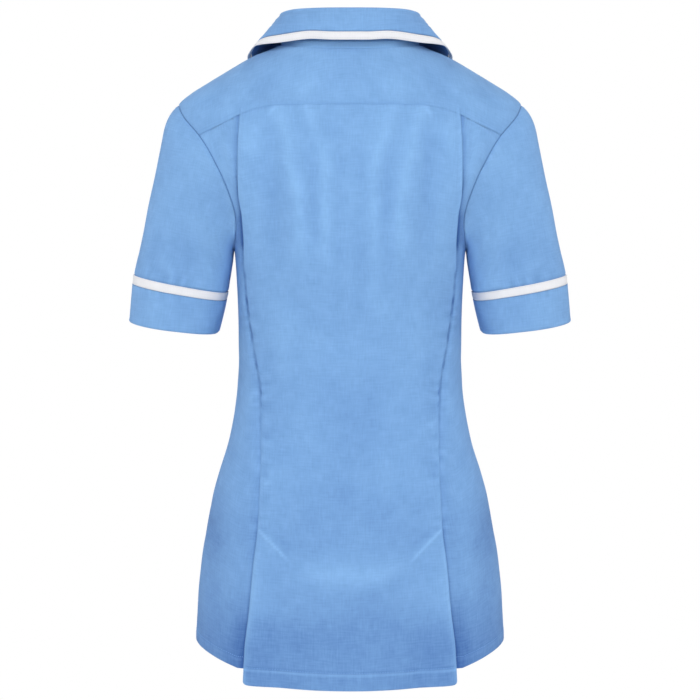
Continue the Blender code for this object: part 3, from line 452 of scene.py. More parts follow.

# Lips, grooves and rows of sewing along an edge. Columns: at, how far from the edge; half_width;
# height; tone, painted light on a lip and painted shade in a groove or a row of sewing.
LAP_STITCHING, TAPE_STITCHING = 0.0235, 0.0017
HEM_LINES = ((0.0, 0.0011, -0.0002, -0.7), (-0.0024, 0.0011, 0.0, 1.3))  # from the stitching
YOKE_LINES = ((0.0030, 0.0016, 0.00015, 0.10), (0.0058, 0.0009, -0.00010, -0.08))
YOKE_STITCHING = 0.0022
LAP_LINES = ((LAP_STITCHING, 0.0011, -0.0004, -0.5),)
CAP_LINES = ((0.0034, 0.0017, 0.00015, 0.08),)
CUFF_LINES = ((BAND_WIDTH, 0.0012, 0.0, -0.6),)
# The stand is painted light where the collar's leaf shades it, and its lines are painted light on
# the tape's lip and painted shade at its foot and in its groove.
STAND_PAINTED_LIGHT = 1.9
STAND_LINES = (
    (STAND_BELOW, 0.0007, 0.0, -1.5),
    (STAND_BELOW + 0.5 * STAND_TAPE, 0.0020, 0.0005, 0.6),
    (STAND_BELOW + STAND_TAPE, 0.0009, -0.0007, -4.0),
)
LEAF_LINES = ((0.0, 0.0011, 0.0, -0.6),)
TAPE_LINES = ((0.0, 0.0007, 0.0, -0.5), (TAPE_STITCHING, 0.0004, -0.00022, -0.35))
LEAF_SHADE, LEAF_SHADE_AT, LEAF_SHADE_WIDTH = -0.7, 0.62, 0.25  # along the collar

# The seam between the pleat and the vent is sewn over these heights: start, full, last, end.
SEWN = (-0.556, -0.536, -0.280, -0.250)
PLEAT_HOLLOW_HEIGHTS = (-0.262, -0.227, -0.185, -0.135)
GROOVE_WIDTH, SEAM_TONE = 0.0009, -1.4  # the shade in a seam's groove
BACK_GROOVE, SIDE_GROOVE, SIDE_GROOVE_WIDTH = -1.9, -1.5, 0.0010
SIDE_LIP, SIDE_LIP_AT, SIDE_LIP_WIDTH = 0.10, 0.003, 0.0022
# Painted shade on the centre back's turned-under edge, more where it is sewn.
UNDERSIDE_TONE, UNDERSIDE_SEWN = -0.5, -1.2  # the centre back's edge where it is turned under
UNDER_LEFT, OUTER_LEFT = 0.02, 0.50  # the yoke seam's shade at the centre, and how much more
SEAM_SHADE_OUT = (0.075, 0.110)  # it has between these two
CORNER_LEFT, CORNER_MORE, CORNER_OUT = 0.10, 0.50, (0.145, 0.162)

# Gathers across a seam. Columns: reach, height, start.
BACK_GATHER = (0.0090, 0.00042, 1.0)
SIDE_GATHER = (0.0080, 0.00040, 3.0)
HEM_GATHER_HEIGHT, HEM_GATHER_START, HEM_GATHER_TONE = 0.00022, 0.7, 0.5
HEM_GATHER_AT, HEM_GATHER_REACH = 0.75, 0.55  # shares of the hem's depth
SLEEVE_GATHER, SLEEVE_GATHER_AT = (0.0065, 0.00040, 2.2), 0.004
CAP_GATHER = (0.0070, 0.00020, 0.4)
CUFF_GATHER, CUFF_GATHER_AT = (0.006, 0.00018, 4.0), 0.012
GATHER_WAVE = 430.0  # radians per metre along the seam
GATHER_DRIFTS = ((1.4, 131.0, 1), (0.8, 57.0, 2))  # how far, radians per metre, times the start
GATHER_STRENGTH, GATHER_UNEVEN, GATHER_UNEVEN_WAVE = 0.55, 0.45, 83.0

# Rolled edges, as width and depth.
YOKE_OVER_BACK, YOKE_ROLL, YOKE_FRONT_ROLL = (0.0030, 0.0004), (0.0010, 0.0002), (0.0012, 0.0006)
SIDE_EDGE_ROLL, SIDE_TOP_ROLL, LAP_ROLL = (0.0016, 0.0004), (0.0020, 0.0004), (0.0012, 0.0005)
ARMHOLE_ROLL, TAPE_ROLL, LEAF_ROLL = (0.0014, 0.0003), (0.0014, 0.0006), (0.0012, 0.0004)
SEAM_FLAT = 0.003  # creases die out over this width at a side seam

SEAM_DARK, SEAM_SPARED = 0.15, 0.20  # shade of the seam between the pleat and the vent
SEAM_DARKENS = ((0.90, -0.455, -0.380), (0.45, -0.350, -0.290))  # more, start, full
SEAM_UNEVEN = ((0.40, 190.0, 1), (0.30, 433.0, 2))  # how far, radians per metre, start
CREASE_ENDS = 0.32  # a crease fades over this share of its length at each end
HEM_STANDS, HEM_STEP = 0.00025, 0.003  # the doubled hem is this proud, and falls over this
SIDE_HEM_STRENGTH, FRONT_HEM_STRENGTH = 0.35, 0.6
YOKE_FLAT, YOKE_KEEPS = 0.022, 0.15  # below the yoke seam creases die out over this, to this
EDGE_FLAT, EDGE_KEEPS = 0.004, 0.15  # and at the centre back's edge
CORNER_FADES = 0.03  # height of the rounded corner's pull on the rows
LEVEL_POWER, LEVEL_HEIGHTS = 7, (-0.125, -0.098)  # how late the side back dips near the yoke
SIDE_SWELL, FRONT_SWELL = 0.5, 0.2  # where on the swell these panels start
SIDE_SEAM_TONES, SIDE_SEAM_HEIGHTS = (0.8, 0.4), (-0.240, -0.220)  # below and above these
ARMHOLE_UNDER = 0.1  # on the armhole an allowance runs this share of its width
LAP_FLAT, ODD_FLAT = (0.012, 0.032), (0.030, 0.050)  # from the front's edge creases come in
LAP_LEVEL_OUT, LAP_KEEPS = (0.040, 0.020), 0.7  # the lap's upper layer keeps this share
LAP_STITCHED_FROM = (-0.120, -0.130)
FRONT_CREASE_TONE, FRONT_SWELL_TONE = 1.5, 0.7
YOKE_EDGES_FLAT = (0.004, 0.006, 0.006)  # creases die out at the seam, the front and the sleeve
LESS_BESIDE, LESS_BESIDE_OUT = 0.15, (0.118, 0.135)  # the yoke's seam is fainter past the pleat
YOKE_SLEEVE_TONE, YOKE_FRONT_TONE, CAP_SEAM_TONE, CAP_GATHER_TONE = 0.45, 1.1, 0.4, 0.6
# Painted shade at the sleeve's foot just above the band, and at the cuff's lower fold.
SLEEVE_FOOT_TONE, SLEEVE_FOOT_WIDTH = -0.35, 0.0016
CUFF_FOOT_TONE, CUFF_FOOT_WIDTH = -0.30, 0.004
SLEEVE_FULLER, FULLER_ABOVE, FULLER_STEP = 0.0010, 0.030, 0.0025
CAP_CROWDED = 1.6  # the cap's rows are closer together at the seam
UNDERARM_SHORT, UNDERARM_SHORT_TO = 0.12, 0.6
CUFF_EDGE_ROWS = np.array((0, 0.00025, 0.0006))  # extra rows of the cuff close to the band
CUFF_FACE_FROM = 0.0115
CUFF_CREASE_SCALE, COLLAR_CREASE_SCALE = 0.9, 0.10
NECK_SLOPE = 0.03
STAND_ROWS, FOLD_TURN_ROWS = 12, 12
GROOVE_ROWS = 0.0011 * np.arange(-3, 4)  # extra rows of the stand round the tape's groove
UNDER_ROWS, TURN_ROWS = 7, 8
BACK_UNDER_COLUMNS, BACK_TURN_COLUMNS = 8, 11
CLOSE_STATIONS = np.array((0.07, 0.2, 0.42, 0.7))  # extra rows near an edge, in row spacings
# The rings of one stitch. Columns: along, in stitch lengths; radius and rise, in stitch radii.
STITCH_RINGS = ((-0.5, 0.45, -0.5), (-0.32, 1.0, 0.45), (0.32, 1.0, 0.45), (0.5, 0.45, -0.5))
STITCH_SLOPE = 0.0005  # a stitch's direction is taken over this length to both sides
BACK_ENDS, LAP_ENDS, YOKE_ENDS = 6, 4, 3  # the sewing stops so many columns or rows short

# Where creases and gathers come in beside the edges of the sleeve, the cuff and the leaf.
SLEEVE_TOP_FADE, SLEEVE_FOOT_FADE, CUFF_GATHER_FADE, CAP_GATHER_FADE = 0.005, 0.006, 0.003, 0.002
CUFF_FOOT_FADE, CUFF_FOOT_KEEPS, CUFF_BAND_FADE = 0.004, 0.2, 0.002
LEAF_FOLD_FADE, LEAF_BAND_FADE = 0.12, 0.004  # the first is a share of the leaf
SEAM_HELD, SQUARE_COMES_IN = 0.2, 0.5  # sines of the turn round the arm
SIDE_HOLD, FRONT_HOLD = 6, 3  # how soon the curves of the hem and the seam die out in a panel
PLEAT_RISE = 3  # how late the side back's inner edge rises to the yoke seam
COLLAR_CLEAR, COLLAR_CLEAR_MORE = 2, 3  # seam gaps inside the neck hole, and more in front

# The weave: scales of the patterns, in cycles per metre, and how much each counts.
WARP_SCALE, WEFT_SCALE, MOTTLE_SCALE = 620.0, 560.0, 60.0
TWILL_SCALE, CROSS_SCALE = 1050.0, 700.0
THREAD_STRETCH = 0.11  # the threads' unevenness is this much longer along them
MOTTLE_DEPTH, LIGHT_SHARE, CROSS_SHARE, THREAD_RELIEF = 0.22, 0.7, 0.4, 1.5
WEAVE_HEIGHT = 0.0002
RIB_UNEVEN = (("Distortion", 0.6), ("Detail", 1.0), ("Detail Scale", 2.0))
CLOTH_FINISH = (
    ("Roughness", 0.82),
    ("Specular IOR Level", 0.20),
    ("Sheen Weight", 0.04),
    ("Sheen Roughness", 0.45),
    ("Metallic", 0.0),
)

# Floor, light and camera.
FLOOR_Z, FLOOR_RADIUS, FLOOR_SIDES = -1.0, 1.25, 96
PALE, WHITE = (0.86, 0.86, 0.87, 1), (1, 1, 1, 1)
BACK_LIGHT = 62.0  # watts of each large lamp
LIGHT_REACH, LIGHT_HEIGHT = 2.9, 0.8
SIDE_LIGHT = 14.0  # watts of each lamp at the sides
SIDE_REACH, SIDE_BACK, SIDE_HEIGHT = 2.4, 0.9, 0.6
LIGHT_AIM = (0, 0, -0.36)
LARGE_LAMP, SIDE_LAMP = (2.2, 2.2), (1.4, 1.8)  # their sizes
SURROUND = 0.33  # strength of the light from all round
CAMERA_BACK, CAMERA_Z, CAMERA_LENS = 2.4, -0.347, 108.4

# ---------------------------------------------------------------- tables
def read(table, columns, name, at):
    """Column name of a table at the places at, along a smooth curve that never overshoots."""
    rows = np.array(sorted(table), float)
    keys, values = rows[:, 0], rows[:, columns.index(name)]
    steps = np.diff(keys)
    rise = np.diff(values) / steps
    both = rise[:-1] * rise[1:]
    total = np.where(rise[:-1] + rise[1:] == 0, 1, rise[:-1] + rise[1:])
    inner = np.where(both > 0, 2 * both / total, 0)
    slope = np.concatenate([rise[:1], inner, rise[-1:]])
    at = np.clip(np.asarray(at, float), keys[0], keys[-1])
    row = np.clip(np.searchsorted(keys, at) - 1, 0, len(keys) - 2)
    step = steps[row]
    t = (at - keys[row]) / step
    return (
        (1 + 2 * t) * (1 - t) ** 2 * values[row]
        + t * (1 - t) ** 2 * step * slope[row]
        + t**2 * (3 - 2 * t) * values[row + 1]
        + t**2 * (t - 1) * step * slope[row + 1]
    )


def form_at(name, z):
    return read(FORM, FORM_COLUMNS, name, z)


def edge_at(name, z):
    return read(EDGE, EDGE_COLUMNS, name, z)


def yoke_seam_z(x):
    return read(YOKE_SEAM, YOKE_SEAM_COLUMNS, "height", np.abs(x))


def ease(share):
    """0 to 1 with a soft start and end."""
    share = np.clip(share, 0, 1)
    return share * share * (3 - 2 * share)


def blend(a, b, share):
    """That share of the way from a to b."""
    return a + (b - a) * share


def unit(vectors):
    """Vectors divided by their lengths."""
    return vectors / np.linalg.norm(vectors, axis=-1, keepdims=True)


# ---------------------------------------------------------------- the form under the cloth
def depth_and_square(side, z):
    """Depth and squareness of a level on its back, side > 0, or its front."""
    depth = np.where(side > 0, form_at("back", z), form_at("front", z))
    square = np.where(side > 0, form_at("back_square", z), form_at("front_square", z))
    return depth, square


def form_point(angle, z):
    """The form's surface. Each level is an ellipse's, with the cosine and the sine of the angle
    raised to 2 over the squareness, which leaves their signs."""
    depth, square = depth_and_square(np.sin(angle), z)
    along, across = np.cos(angle), np.sin(angle)
    x = form_at("half_width", z) * np.sign(along) * np.abs(along) ** (2 / square)
    y = depth * np.sign(across) * np.abs(across) ** (2 / square)
    return np.stack(np.broadcast_arrays(x, y, z), axis=-1)


def fold_height(x, z, table):
    """How far the soft folds of a table stand off the form at x out and the height z."""
    height = np.zeros(np.broadcast(x, z).shape)
    for top_out, top_z, foot_out, foot_z, half_width, stands in table:
        down = (z - top_z) / (foot_z - top_z)
        taper = ease(down / FOLD_STARTS) * ease((1 - down) / FOLD_ENDS)
        across = ease(1 - np.abs(np.abs(x) - blend(top_out, foot_out, down)) / half_width)
        height = height + stands * taper * across
    return height


def cloth_point(angle, z, off=0.0):
    """A point off outside the form, along its normal, with the soft folds added."""
    turn, rise = 2e-3, 5e-4
    across = form_point(angle + turn, z) - form_point(angle - turn, z)
    up = form_point(angle, z + rise) - form_point(angle, z - rise)
    point = form_point(angle, z)
    back, front = (fold_height(point[..., 0], z, folds) for folds in (BACK_FOLDS, FRONT_FOLDS))
    off = np.asarray(off) + np.where(np.sin(angle) > 0, back, front)
    return point + unit(np.cross(across, up)) * off[..., None]


def angle_at_x(x, z, side):
    """The angle where the form is x out from the centre, on its back or front."""
    square = depth_and_square(side, z)[1]
    share = np.clip(np.abs(x) / form_at("half_width", z), 0, 1)
    angle = np.arccos(share ** (square / 2))
    return side * np.where(x < 0, math.pi - angle, angle)


def angle_at_y(y, z):
    """The angle, on the form's left half, where it is y behind the side seam."""
    depth, square = depth_and_square(y, z)
    return np.sign(y) * np.arcsin(np.clip(np.abs(y) / depth, 0, 1) ** (square / 2))


def patch(bottom, top, first, last, hold=1):
    """Places on the form inside four edges. bottom and top run from first to last, and first
    and last run upwards. Each row is straight between first and last, plus the curve of bottom
    and of top, which dies out the sooner the larger hold is."""
    up = np.linspace(0, 1, len(first))[:, None, None]
    across = np.linspace(0, 1, len(bottom))[None, :, None]
    rows = blend(first[:, None], last[:, None], across)
    bottom_curve = bottom[None] - blend(bottom[0], bottom[-1], across)
    top_curve = top[None] - blend(top[0], top[-1], across)
    width = np.abs(last[:, 0] - first[:, 0])[:, None, None]
    bottom_share = (1 - up) ** hold * np.minimum(width / width[0], 1)
    top_share = up**hold * np.minimum(width / width[-1], 1)
    return rows + bottom_curve * bottom_share + top_curve * top_share


def places(angle, z):
    """Places on the form, as pairs of an angle and a height."""
    return np.stack(np.broadcast_arrays(angle, z), axis=-1)


# ---------------------------------------------------------------- seam lines
def armhole(turn, ease_out=0.0):
    """Places on the armhole, an egg. turn is 0 at the underarm and goes up the back, over the
    shoulder tip at pi and down the front."""
    middle, half = (SHOULDER_TIP_Z + UNDERARM_Z) / 2, (SHOULDER_TIP_Z - UNDERARM_Z) / 2
    up = -np.cos(turn)
    z = middle + (half + ease_out) * up
    reach = np.where(np.sin(turn) > 0, ARMHOLE_BACK, ARMHOLE_FRONT) + ease_out
    y = reach * np.sin(turn) * (1 - ARMHOLE_EGG * up)
    return places(angle_at_y(y, z), z)


def nearest_turn(turns, wanted):
    """The turn whose point on the armhole comes nearest to making wanted(x, y, z) nought."""
    points = form_point(*np.moveaxis(armhole(turns), -1, 0))
    return turns[np.argmin(np.abs(wanted(*np.moveaxis(points, -1, 0))))]


def armhole_turns():
    """Stations round the armhole on the side back, the yoke and the front."""
    back_corner = nearest_turn(np.linspace(1.0, 3.0, 4000), lambda x, y, z: yoke_seam_z(x) - z)
    front_corner = nearest_turn(
        np.linspace(3.2, 4.5, 4000), lambda x, y, z: y - FRONT_YOKE_SEAM_Y
    )
    ends = ((0, back_corner), (back_corner, front_corner), (front_corner, 2 * math.pi))
    return [np.linspace(a, b, n + 1) for (a, b), n in zip(ends, ARMHOLE_PARTS)]


def neckline_x(z):
    """The left front's inner edge: past the centre below the V, and the neckline above it."""
    share = np.clip(-z / V_DEPTH, 0, 1)
    return (NECK_HALF_WIDTH + FRONT_OVERLAP) * (1 - share**V_CURVE) - FRONT_OVERLAP


def neck_corner_z():
    """Height where the neckline meets the yoke's front seam."""
    z = np.linspace(-0.030, -0.0001, 3000)
    y = form_point(angle_at_x(neckline_x(z), z, -1), z)[:, 1]
    return z[np.argmin(np.abs(y - FRONT_YOKE_SEAM_Y))]


def neck_back_z():
    """Height of the neck hole's edge at the centre back."""
    z = np.linspace(0.0, -0.060, 600)
    return np.interp(NECK_BACK, form_at("back", z), z)


def neck_places(count):
    """Places on the neck hole's edge from the centre back to the neck corner."""
    corner_z = neck_corner_z()
    corner_angle = angle_at_y(FRONT_YOKE_SEAM_Y, corner_z)
    angle = np.linspace(math.pi / 2, corner_angle, count + 1)
    height = blend(corner_z, neck_back_z(), np.sin(angle).clip(0) ** 2)
    return places(angle, height)


# ---------------------------------------------------------------- reliefs
def grow(value, start, end):
    """0 at start and 1 at end, softly."""
    return ease((value - start) / (end - start))


def between(value, start, full, last, end):
    """1 from full to last, and softly down to 0 at start and at end."""
    return grow(value, start, full) * grow(value, end, last)


def hump(distance, half_width):
    """1 on a line and less beside it, as exp(-(distance / half_width) ** 2)."""
    return np.exp(-((distance / half_width) ** 2))


def creases(table, out, up, out_scale=1.0):
    """Height and tone, painted light on what stands proud and painted shade on what sinks, of a
    table's strokes. Along a stroke both rise softly from nought and fall again; across it they
    are multiplied by the hump of the distance."""
    height, tone = np.zeros(np.shape(out)), np.zeros(np.shape(out))
    for start_out, start_up, end_out, end_up, bow, half_width, stands, light in table:
        run_out, run_up = (end_out - start_out) * out_scale, end_up - start_up
        length = math.hypot(run_out, run_up)
        from_out, from_up = (out - start_out) * out_scale, up - start_up
        along = (from_out * run_out + from_up * run_up) / length**2
        across = (from_out * run_up - from_up * run_out) / length
        across = across - 4 * bow * along * (1 - along)
        fade = ease(along / CREASE_ENDS) * ease((1 - along) / CREASE_ENDS)
        height += stands * hump(across, half_width) * fade
        tone += light * hump(across, half_width) * fade
    return height, tone


def shades(table, z, distance=0.0, out=0.0):
    """Tone of a table's broad shades: each is its tone, times the soft bands of its heights and
    of its way out from the centre, times the hump of the distance where it has a reach."""
    total = 0.0
    for tone, start, full, last, end, reach, out_start, out_full in table:
        part = tone * between(z, start, full, last, end) * grow(out, out_start, out_full)
        total = total + (part * hump(distance, reach) if reach else part)
    return total


def shade_bands(table, z, distance=0.0):
    """Tone of a table's painted shade round a height: humps of the height and of the distance."""
    total = 0.0
    for tone, height, half_height, reach in table:
        part = tone * hump(z - height, half_height)
        total = total + (part * hump(distance, reach) if reach else part)
    return total


def lines(table, distance):
    """Height and tone, painted light on lips and painted shade in grooves and sewing, of a table's
    lips, grooves and rows of sewing, at a distance from the edge: the sum of their humps."""
    height = sum(stands * hump(distance - at, half) for at, half, stands, _ in table)
    tone = sum(light * hump(distance - at, half) for at, half, _, light in table)
    return height, tone


def swell(out, up):
    """The long shallow swell: a sum of plane waves, and its tone, painted light where it rises and
    painted shade where it sinks.
    """
    height = np.zeros(np.shape(out))
    for across, along, start, stands in SWELL:
        height = height + stands * np.sin(2 * math.pi * (across * out + along * up) + start)
    return height, height * SWELL_TONE


def puckers(along, distance, reach, stands, start):
    """Small uneven gathers across a seam: a wave along the seam whose length and height drift,
    times the hump of the distance. Their tone is painted light where they rise and painted shade
    where they sink."""
    drift = sum(far * np.sin(along * wave + n * start) for far, wave, n in GATHER_DRIFTS)
    uneven = GATHER_UNEVEN * np.sin(along * GATHER_UNEVEN_WAVE + 3 * start)
    wave = np.sin(along * GATHER_WAVE + drift)
    height = stands * (GATHER_STRENGTH + uneven) * wave * hump(distance, reach)
    return height, height * PUCKER_TONE


def roll(distance, width=SEAM_ROLL, sink=SEAM_SINK):
    """How deep a rolled edge lies at a distance from it: a quarter of an ellipse."""
    short = 1 - np.clip(distance / width, 0, 1)
    return sink * (1 - np.sqrt(1 - short**2))


def run_lengths(points, axis):
    """Distances along the rows or columns of a grid from its first and from its last line."""
    step = np.linalg.norm(np.diff(points, axis=axis), axis=-1)
    start = np.zeros_like(np.take(step, [0], axis))
    along = np.cumsum(np.concatenate([start, step], axis), axis)
    return along, np.take(along, [-1], axis) - along


def lengths_from(points, axis, line):
    """Distances along the rows or columns of a grid from the line of that number, and nought
    before it."""
    along, _ = run_lengths(points, axis)
    return (along - np.take(along, [line], axis)).clip(0)


def seam_tone(distance):
    """The shade in a seam's groove."""
    return SEAM_TONE * hump(distance, GROOVE_WIDTH)


def hem_relief(rise, depth, along, strength=1.0):
    """Height and tone of a stitched hem, rise above its edge: the doubled cloth stands a little
    proud, the stitching sinks, and the layers between pucker. The tone is painted shade on the
    stitching and painted light on the lip below it, and follows the puckers."""
    doubled = HEM_STANDS * ease((depth - rise) / HEM_STEP)
    gather = (HEM_GATHER_REACH * depth, HEM_GATHER_HEIGHT, HEM_GATHER_START)
    wave, wave_tone = puckers(along, rise - HEM_GATHER_AT * depth, *gather)
    line, line_tone = lines(HEM_LINES, rise - depth)
    return doubled + strength * line + wave, HEM_GATHER_TONE * wave_tone + strength * line_tone


def nearest_line(distances, wanted):
    """The number of the line of a grid whose distance comes nearest to the wanted one."""
    return int(np.argmin(np.abs(distances - wanted)))


# ---------------------------------------------------------------- meshes
def normals_of(grid, closed=False):
    """Outward unit normals of a grid: the cross product of its steps along and up."""
    if closed:
        along = np.roll(grid, -1, axis=1) - np.roll(grid, 1, axis=1)
    else:
        along = np.gradient(grid, axis=1)
    return unit(np.cross(along, np.gradient(grid, axis=0)) + 1e-15)


def new_object(name, data):
    """An object of the scene."""
    made = bpy.data.objects.new(name, data)
    bpy.context.scene.collection.objects.link(made)
    return made


def new_piece(name, mesh, finish):
    """The object of a finished mesh, riding on the tunic."""
    mesh.update()
    mesh.shade_smooth()
    mesh.materials.append(finish)
    piece = new_object(name, mesh)
    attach(piece, "root")
    return piece


def cloth(node, grid, thickness, finish, tone, closed=False):
    """The piece of cloth that stands for a node: a grid of outer points, rows upwards and
    columns anticlockwise from above, thickened inwards. Its UV map holds lengths along and up
    the cloth, in metres, and its attribute tone the painted light and shade of its creases, seams,
    hems and broad shades."""
    name = node + ("_tape" if finish is white else "_cloth")
    rows, columns = grid.shape[:2]
    index = np.arange(rows * columns).reshape(rows, columns)
    lengths = grid
    if closed:
        index = np.concatenate([index, index[:, :1]], axis=1)
        lengths = np.concatenate([grid, grid[:, :1]], axis=1)
    along, _ = run_lengths(lengths, 1)
    along = along - along[:, along.shape[1] // 2][:, None]
    up, _ = run_lengths(lengths, 0)

    def corners(values):
        return np.stack(
            [values[:-1, :-1], values[:-1, 1:], values[1:, 1:], values[1:, :-1]], axis=2
        )

    mesh = bpy.data.meshes.new(name)
    mesh.from_pydata(grid.reshape(-1, 3).tolist(), [], corners(index).reshape(-1, 4).tolist())
    chart = mesh.uv_layers.new(name="cloth")
    both = np.stack([corners(along), corners(up)], axis=-1)
    chart.data.foreach_set("uv", both.reshape(-1).astype(np.float32))
    shade = mesh.attributes.new("tone", "FLOAT", "POINT")
    shade.data.foreach_set("value", tone.ravel())
    piece = new_piece(name, mesh, finish)
    ends = np.zeros(len(mesh.edges) * 2, int)
    mesh.edges.foreach_get("vertices", ends)
    row, column = ends.reshape(-1, 2) // columns, ends.reshape(-1, 2) % columns
    rim = np.all(row == 0, axis=1) | np.all(row == rows - 1, axis=1)
    if not closed:
        rim |= np.all(column == 0, axis=1) | np.all(column == columns - 1, axis=1)
    sharp = mesh.attributes.new("sharp_edge", "BOOLEAN", "EDGE")
    sharp.data.foreach_set("value", rim)
    shell = piece.modifiers.new("wall", "SOLIDIFY")
    shell.thickness = thickness
    shell.offset = -1
    shell.use_even_offset = False
    shell.use_rim = True
    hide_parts(node)
    sheets[node] = piece


def pair(node, grid, thickness, finish, tone, closed=False):
    """The wearer's left and right piece of cloth, mirror images, and the grids of both."""
    grids = grid, mirrored(grid)
    cloth(node + "_left", grids[0], thickness, finish, tone, closed)
    cloth(node + "_right", grids[1], thickness, finish, tone[:, ::-1], closed)
    return grids


def sew(grid, row, columns=slice(None), onto=None, closed=False):
    """Keep the points and normals along part of a grid's row, for the stitches."""
    (sewing if onto is None else onto).append(
        (grid[row, columns], normals_of(grid, closed)[row, columns])
    )


def stitches(name, seams, finish):
    """Rows of sewing stitches. Each seam is points on the cloth with the normals there. Every
    pitch along it lies one short thread: rings of four points, thin at both ends, that dip into
    the cloth at each end."""
    vertices, faces = [], []
    sizes = np.array((STITCH_LENGTH, STITCH_RADIUS, STITCH_RADIUS))
    ring_at, ring_radius, ring_up = (np.array(STITCH_RINGS) * sizes).T
    turn = np.radians((0, 90, 180, 270))
    for points, normals in seams:
        step = np.linalg.norm(np.diff(points, axis=0), axis=1)
        length = np.concatenate([[0], np.cumsum(step)])
        middle = np.arange(STITCH_PITCH, length[-1] - STITCH_PITCH, STITCH_PITCH)

        def at(values, place):
            return np.stack([np.interp(place, length, values[:, i]) for i in range(3)], -1)

        centre, up = at(points, middle), unit(at(normals, middle))
        ahead, behind = middle + STITCH_SLOPE, middle - STITCH_SLOPE
        way = unit(at(points, ahead) - at(points, behind))
        side = np.cross(up, way)
        ring = (
            centre[:, None, None]
            + way[:, None, None] * ring_at[None, :, None, None]
            + up[:, None, None] * ring_up[None, :, None, None]
            + side[:, None, None] * (ring_radius[:, None] * np.cos(turn))[None, :, :, None]
            + up[:, None, None] * (ring_radius[:, None] * np.sin(turn))[None, :, :, None]
        )
        first = sum(len(v) for v in vertices)
        vertices.append(ring.reshape(-1, 3))
        index = first + np.arange(ring.size // 3).reshape(len(centre), 4, 4)
        around = np.roll(index, -1, axis=2)
        sides = np.stack([index[:, :-1], index[:, 1:], around[:, 1:], around[:, :-1]], axis=-1)
        faces += [sides.reshape(-1, 4), index[:, 0], index[:, -1, ::-1]]
    mesh = bpy.data.meshes.new(name)
    mesh.from_pydata(np.concatenate(vertices).tolist(), [], np.concatenate(faces).tolist())
    return new_piece(name, mesh, finish)


def mirrored(grid):
    """The same grid for the wearer's right side."""
    return grid[:, ::-1] * np.array((-1, 1, 1))


def both_halves(left):
    """A grid that starts at the centre and runs out to the wearer's left, with its other half."""
    return np.concatenate([left[:, :0:-1], left * np.array((-1, 1, 1))], axis=1)


def both_tones(left):
    """The same for the heights or tones on such a grid."""
    return np.concatenate([left[:, :0:-1], left], axis=1)


def spread(count):
    """Stations from 0 to 1, even but for a few more close to both ends."""
    close = CLOSE_STATIONS / count
    return np.unique(np.concatenate([np.linspace(0, 1, count + 1), close, 1 - close]))


def turned_hem(depth):
    """Rises above the hem's edge and depths inside the outer face, from the end of the part
    turned under, round the edge, to where the outer face begins."""
    under = np.linspace(depth + HEM_UNDER, HEM_RADIUS, UNDER_ROWS + 1)[:-1]
    around = np.radians(np.linspace(180, 0, TURN_ROWS + 1)[:-1])
    rise = np.concatenate([under, HEM_RADIUS * (1 - np.sin(around))])
    inside = np.concatenate([2 * HEM_RADIUS + 0 * under, HEM_RADIUS * (1 - np.cos(around))])
    return rise[:, None], inside[:, None]


# ---------------------------------------------------------------- materials
def fill(node, *values):
    """Set inputs of a node, each given as its name and value."""
    for label, value in values:
        node.inputs[label].default_value = value


def new_material(name, *values):
    """A material with these inputs of its shader set, and the shader."""
    made = bpy.data.materials.new(name)
    made.use_nodes = True
    shader = made.node_tree.nodes["Principled BSDF"]
    fill(shader, *values)
    return made, shader


def new_group(name, inputs, outputs):
    """A shader node group with named sockets, and its input and output nodes."""
    tree = bpy.data.node_groups.new(name, "ShaderNodeTree")
    for label, kind, value in inputs:
        socket = tree.interface.new_socket(label, in_out="INPUT", socket_type=kind)
        if value is not None:
            socket.default_value = value
    for label, kind in outputs:
        tree.interface.new_socket(label, in_out="OUTPUT", socket_type=kind)
    return tree, tree.nodes.new("NodeGroupInput"), tree.nodes.new("NodeGroupOutput")


def calculate(tree, operation, *values, clamp=False):
    """A Math node on numbers and sockets, and its result."""
    maths = tree.nodes.new("ShaderNodeMath")
    maths.operation = operation
    maths.use_clamp = clamp
    for socket, value in zip(maths.inputs, values):
        if isinstance(value, (int, float)):
            socket.default_value = value
        else:
            tree.links.new(value, socket)
    return maths.outputs[0]


def noise(tree, vector, stretch, scale, detail):
    """Noise on a stretched place, from 0 to 1."""
    mapping = tree.nodes.new("ShaderNodeMapping")
    fill(mapping, ("Scale", stretch))
    tree.links.new(vector, mapping.inputs["Vector"])
    made = tree.nodes.new("ShaderNodeTexNoise")
    fill(made, ("Scale", scale), ("Detail", detail))
    tree.links.new(mapping.outputs["Vector"], made.inputs["Vector"])
    return made.outputs["Fac"]


def ribs(tree, vector, direction, scale):
    """Slightly uneven ribs, from 0 to 1."""
    wave = tree.nodes.new("ShaderNodeTexWave")
    wave.bands_direction = direction
    fill(wave, ("Scale", scale), *RIB_UNEVEN)
    tree.links.new(vector, wave.inputs["Vector"])
    return wave.outputs["Fac"]


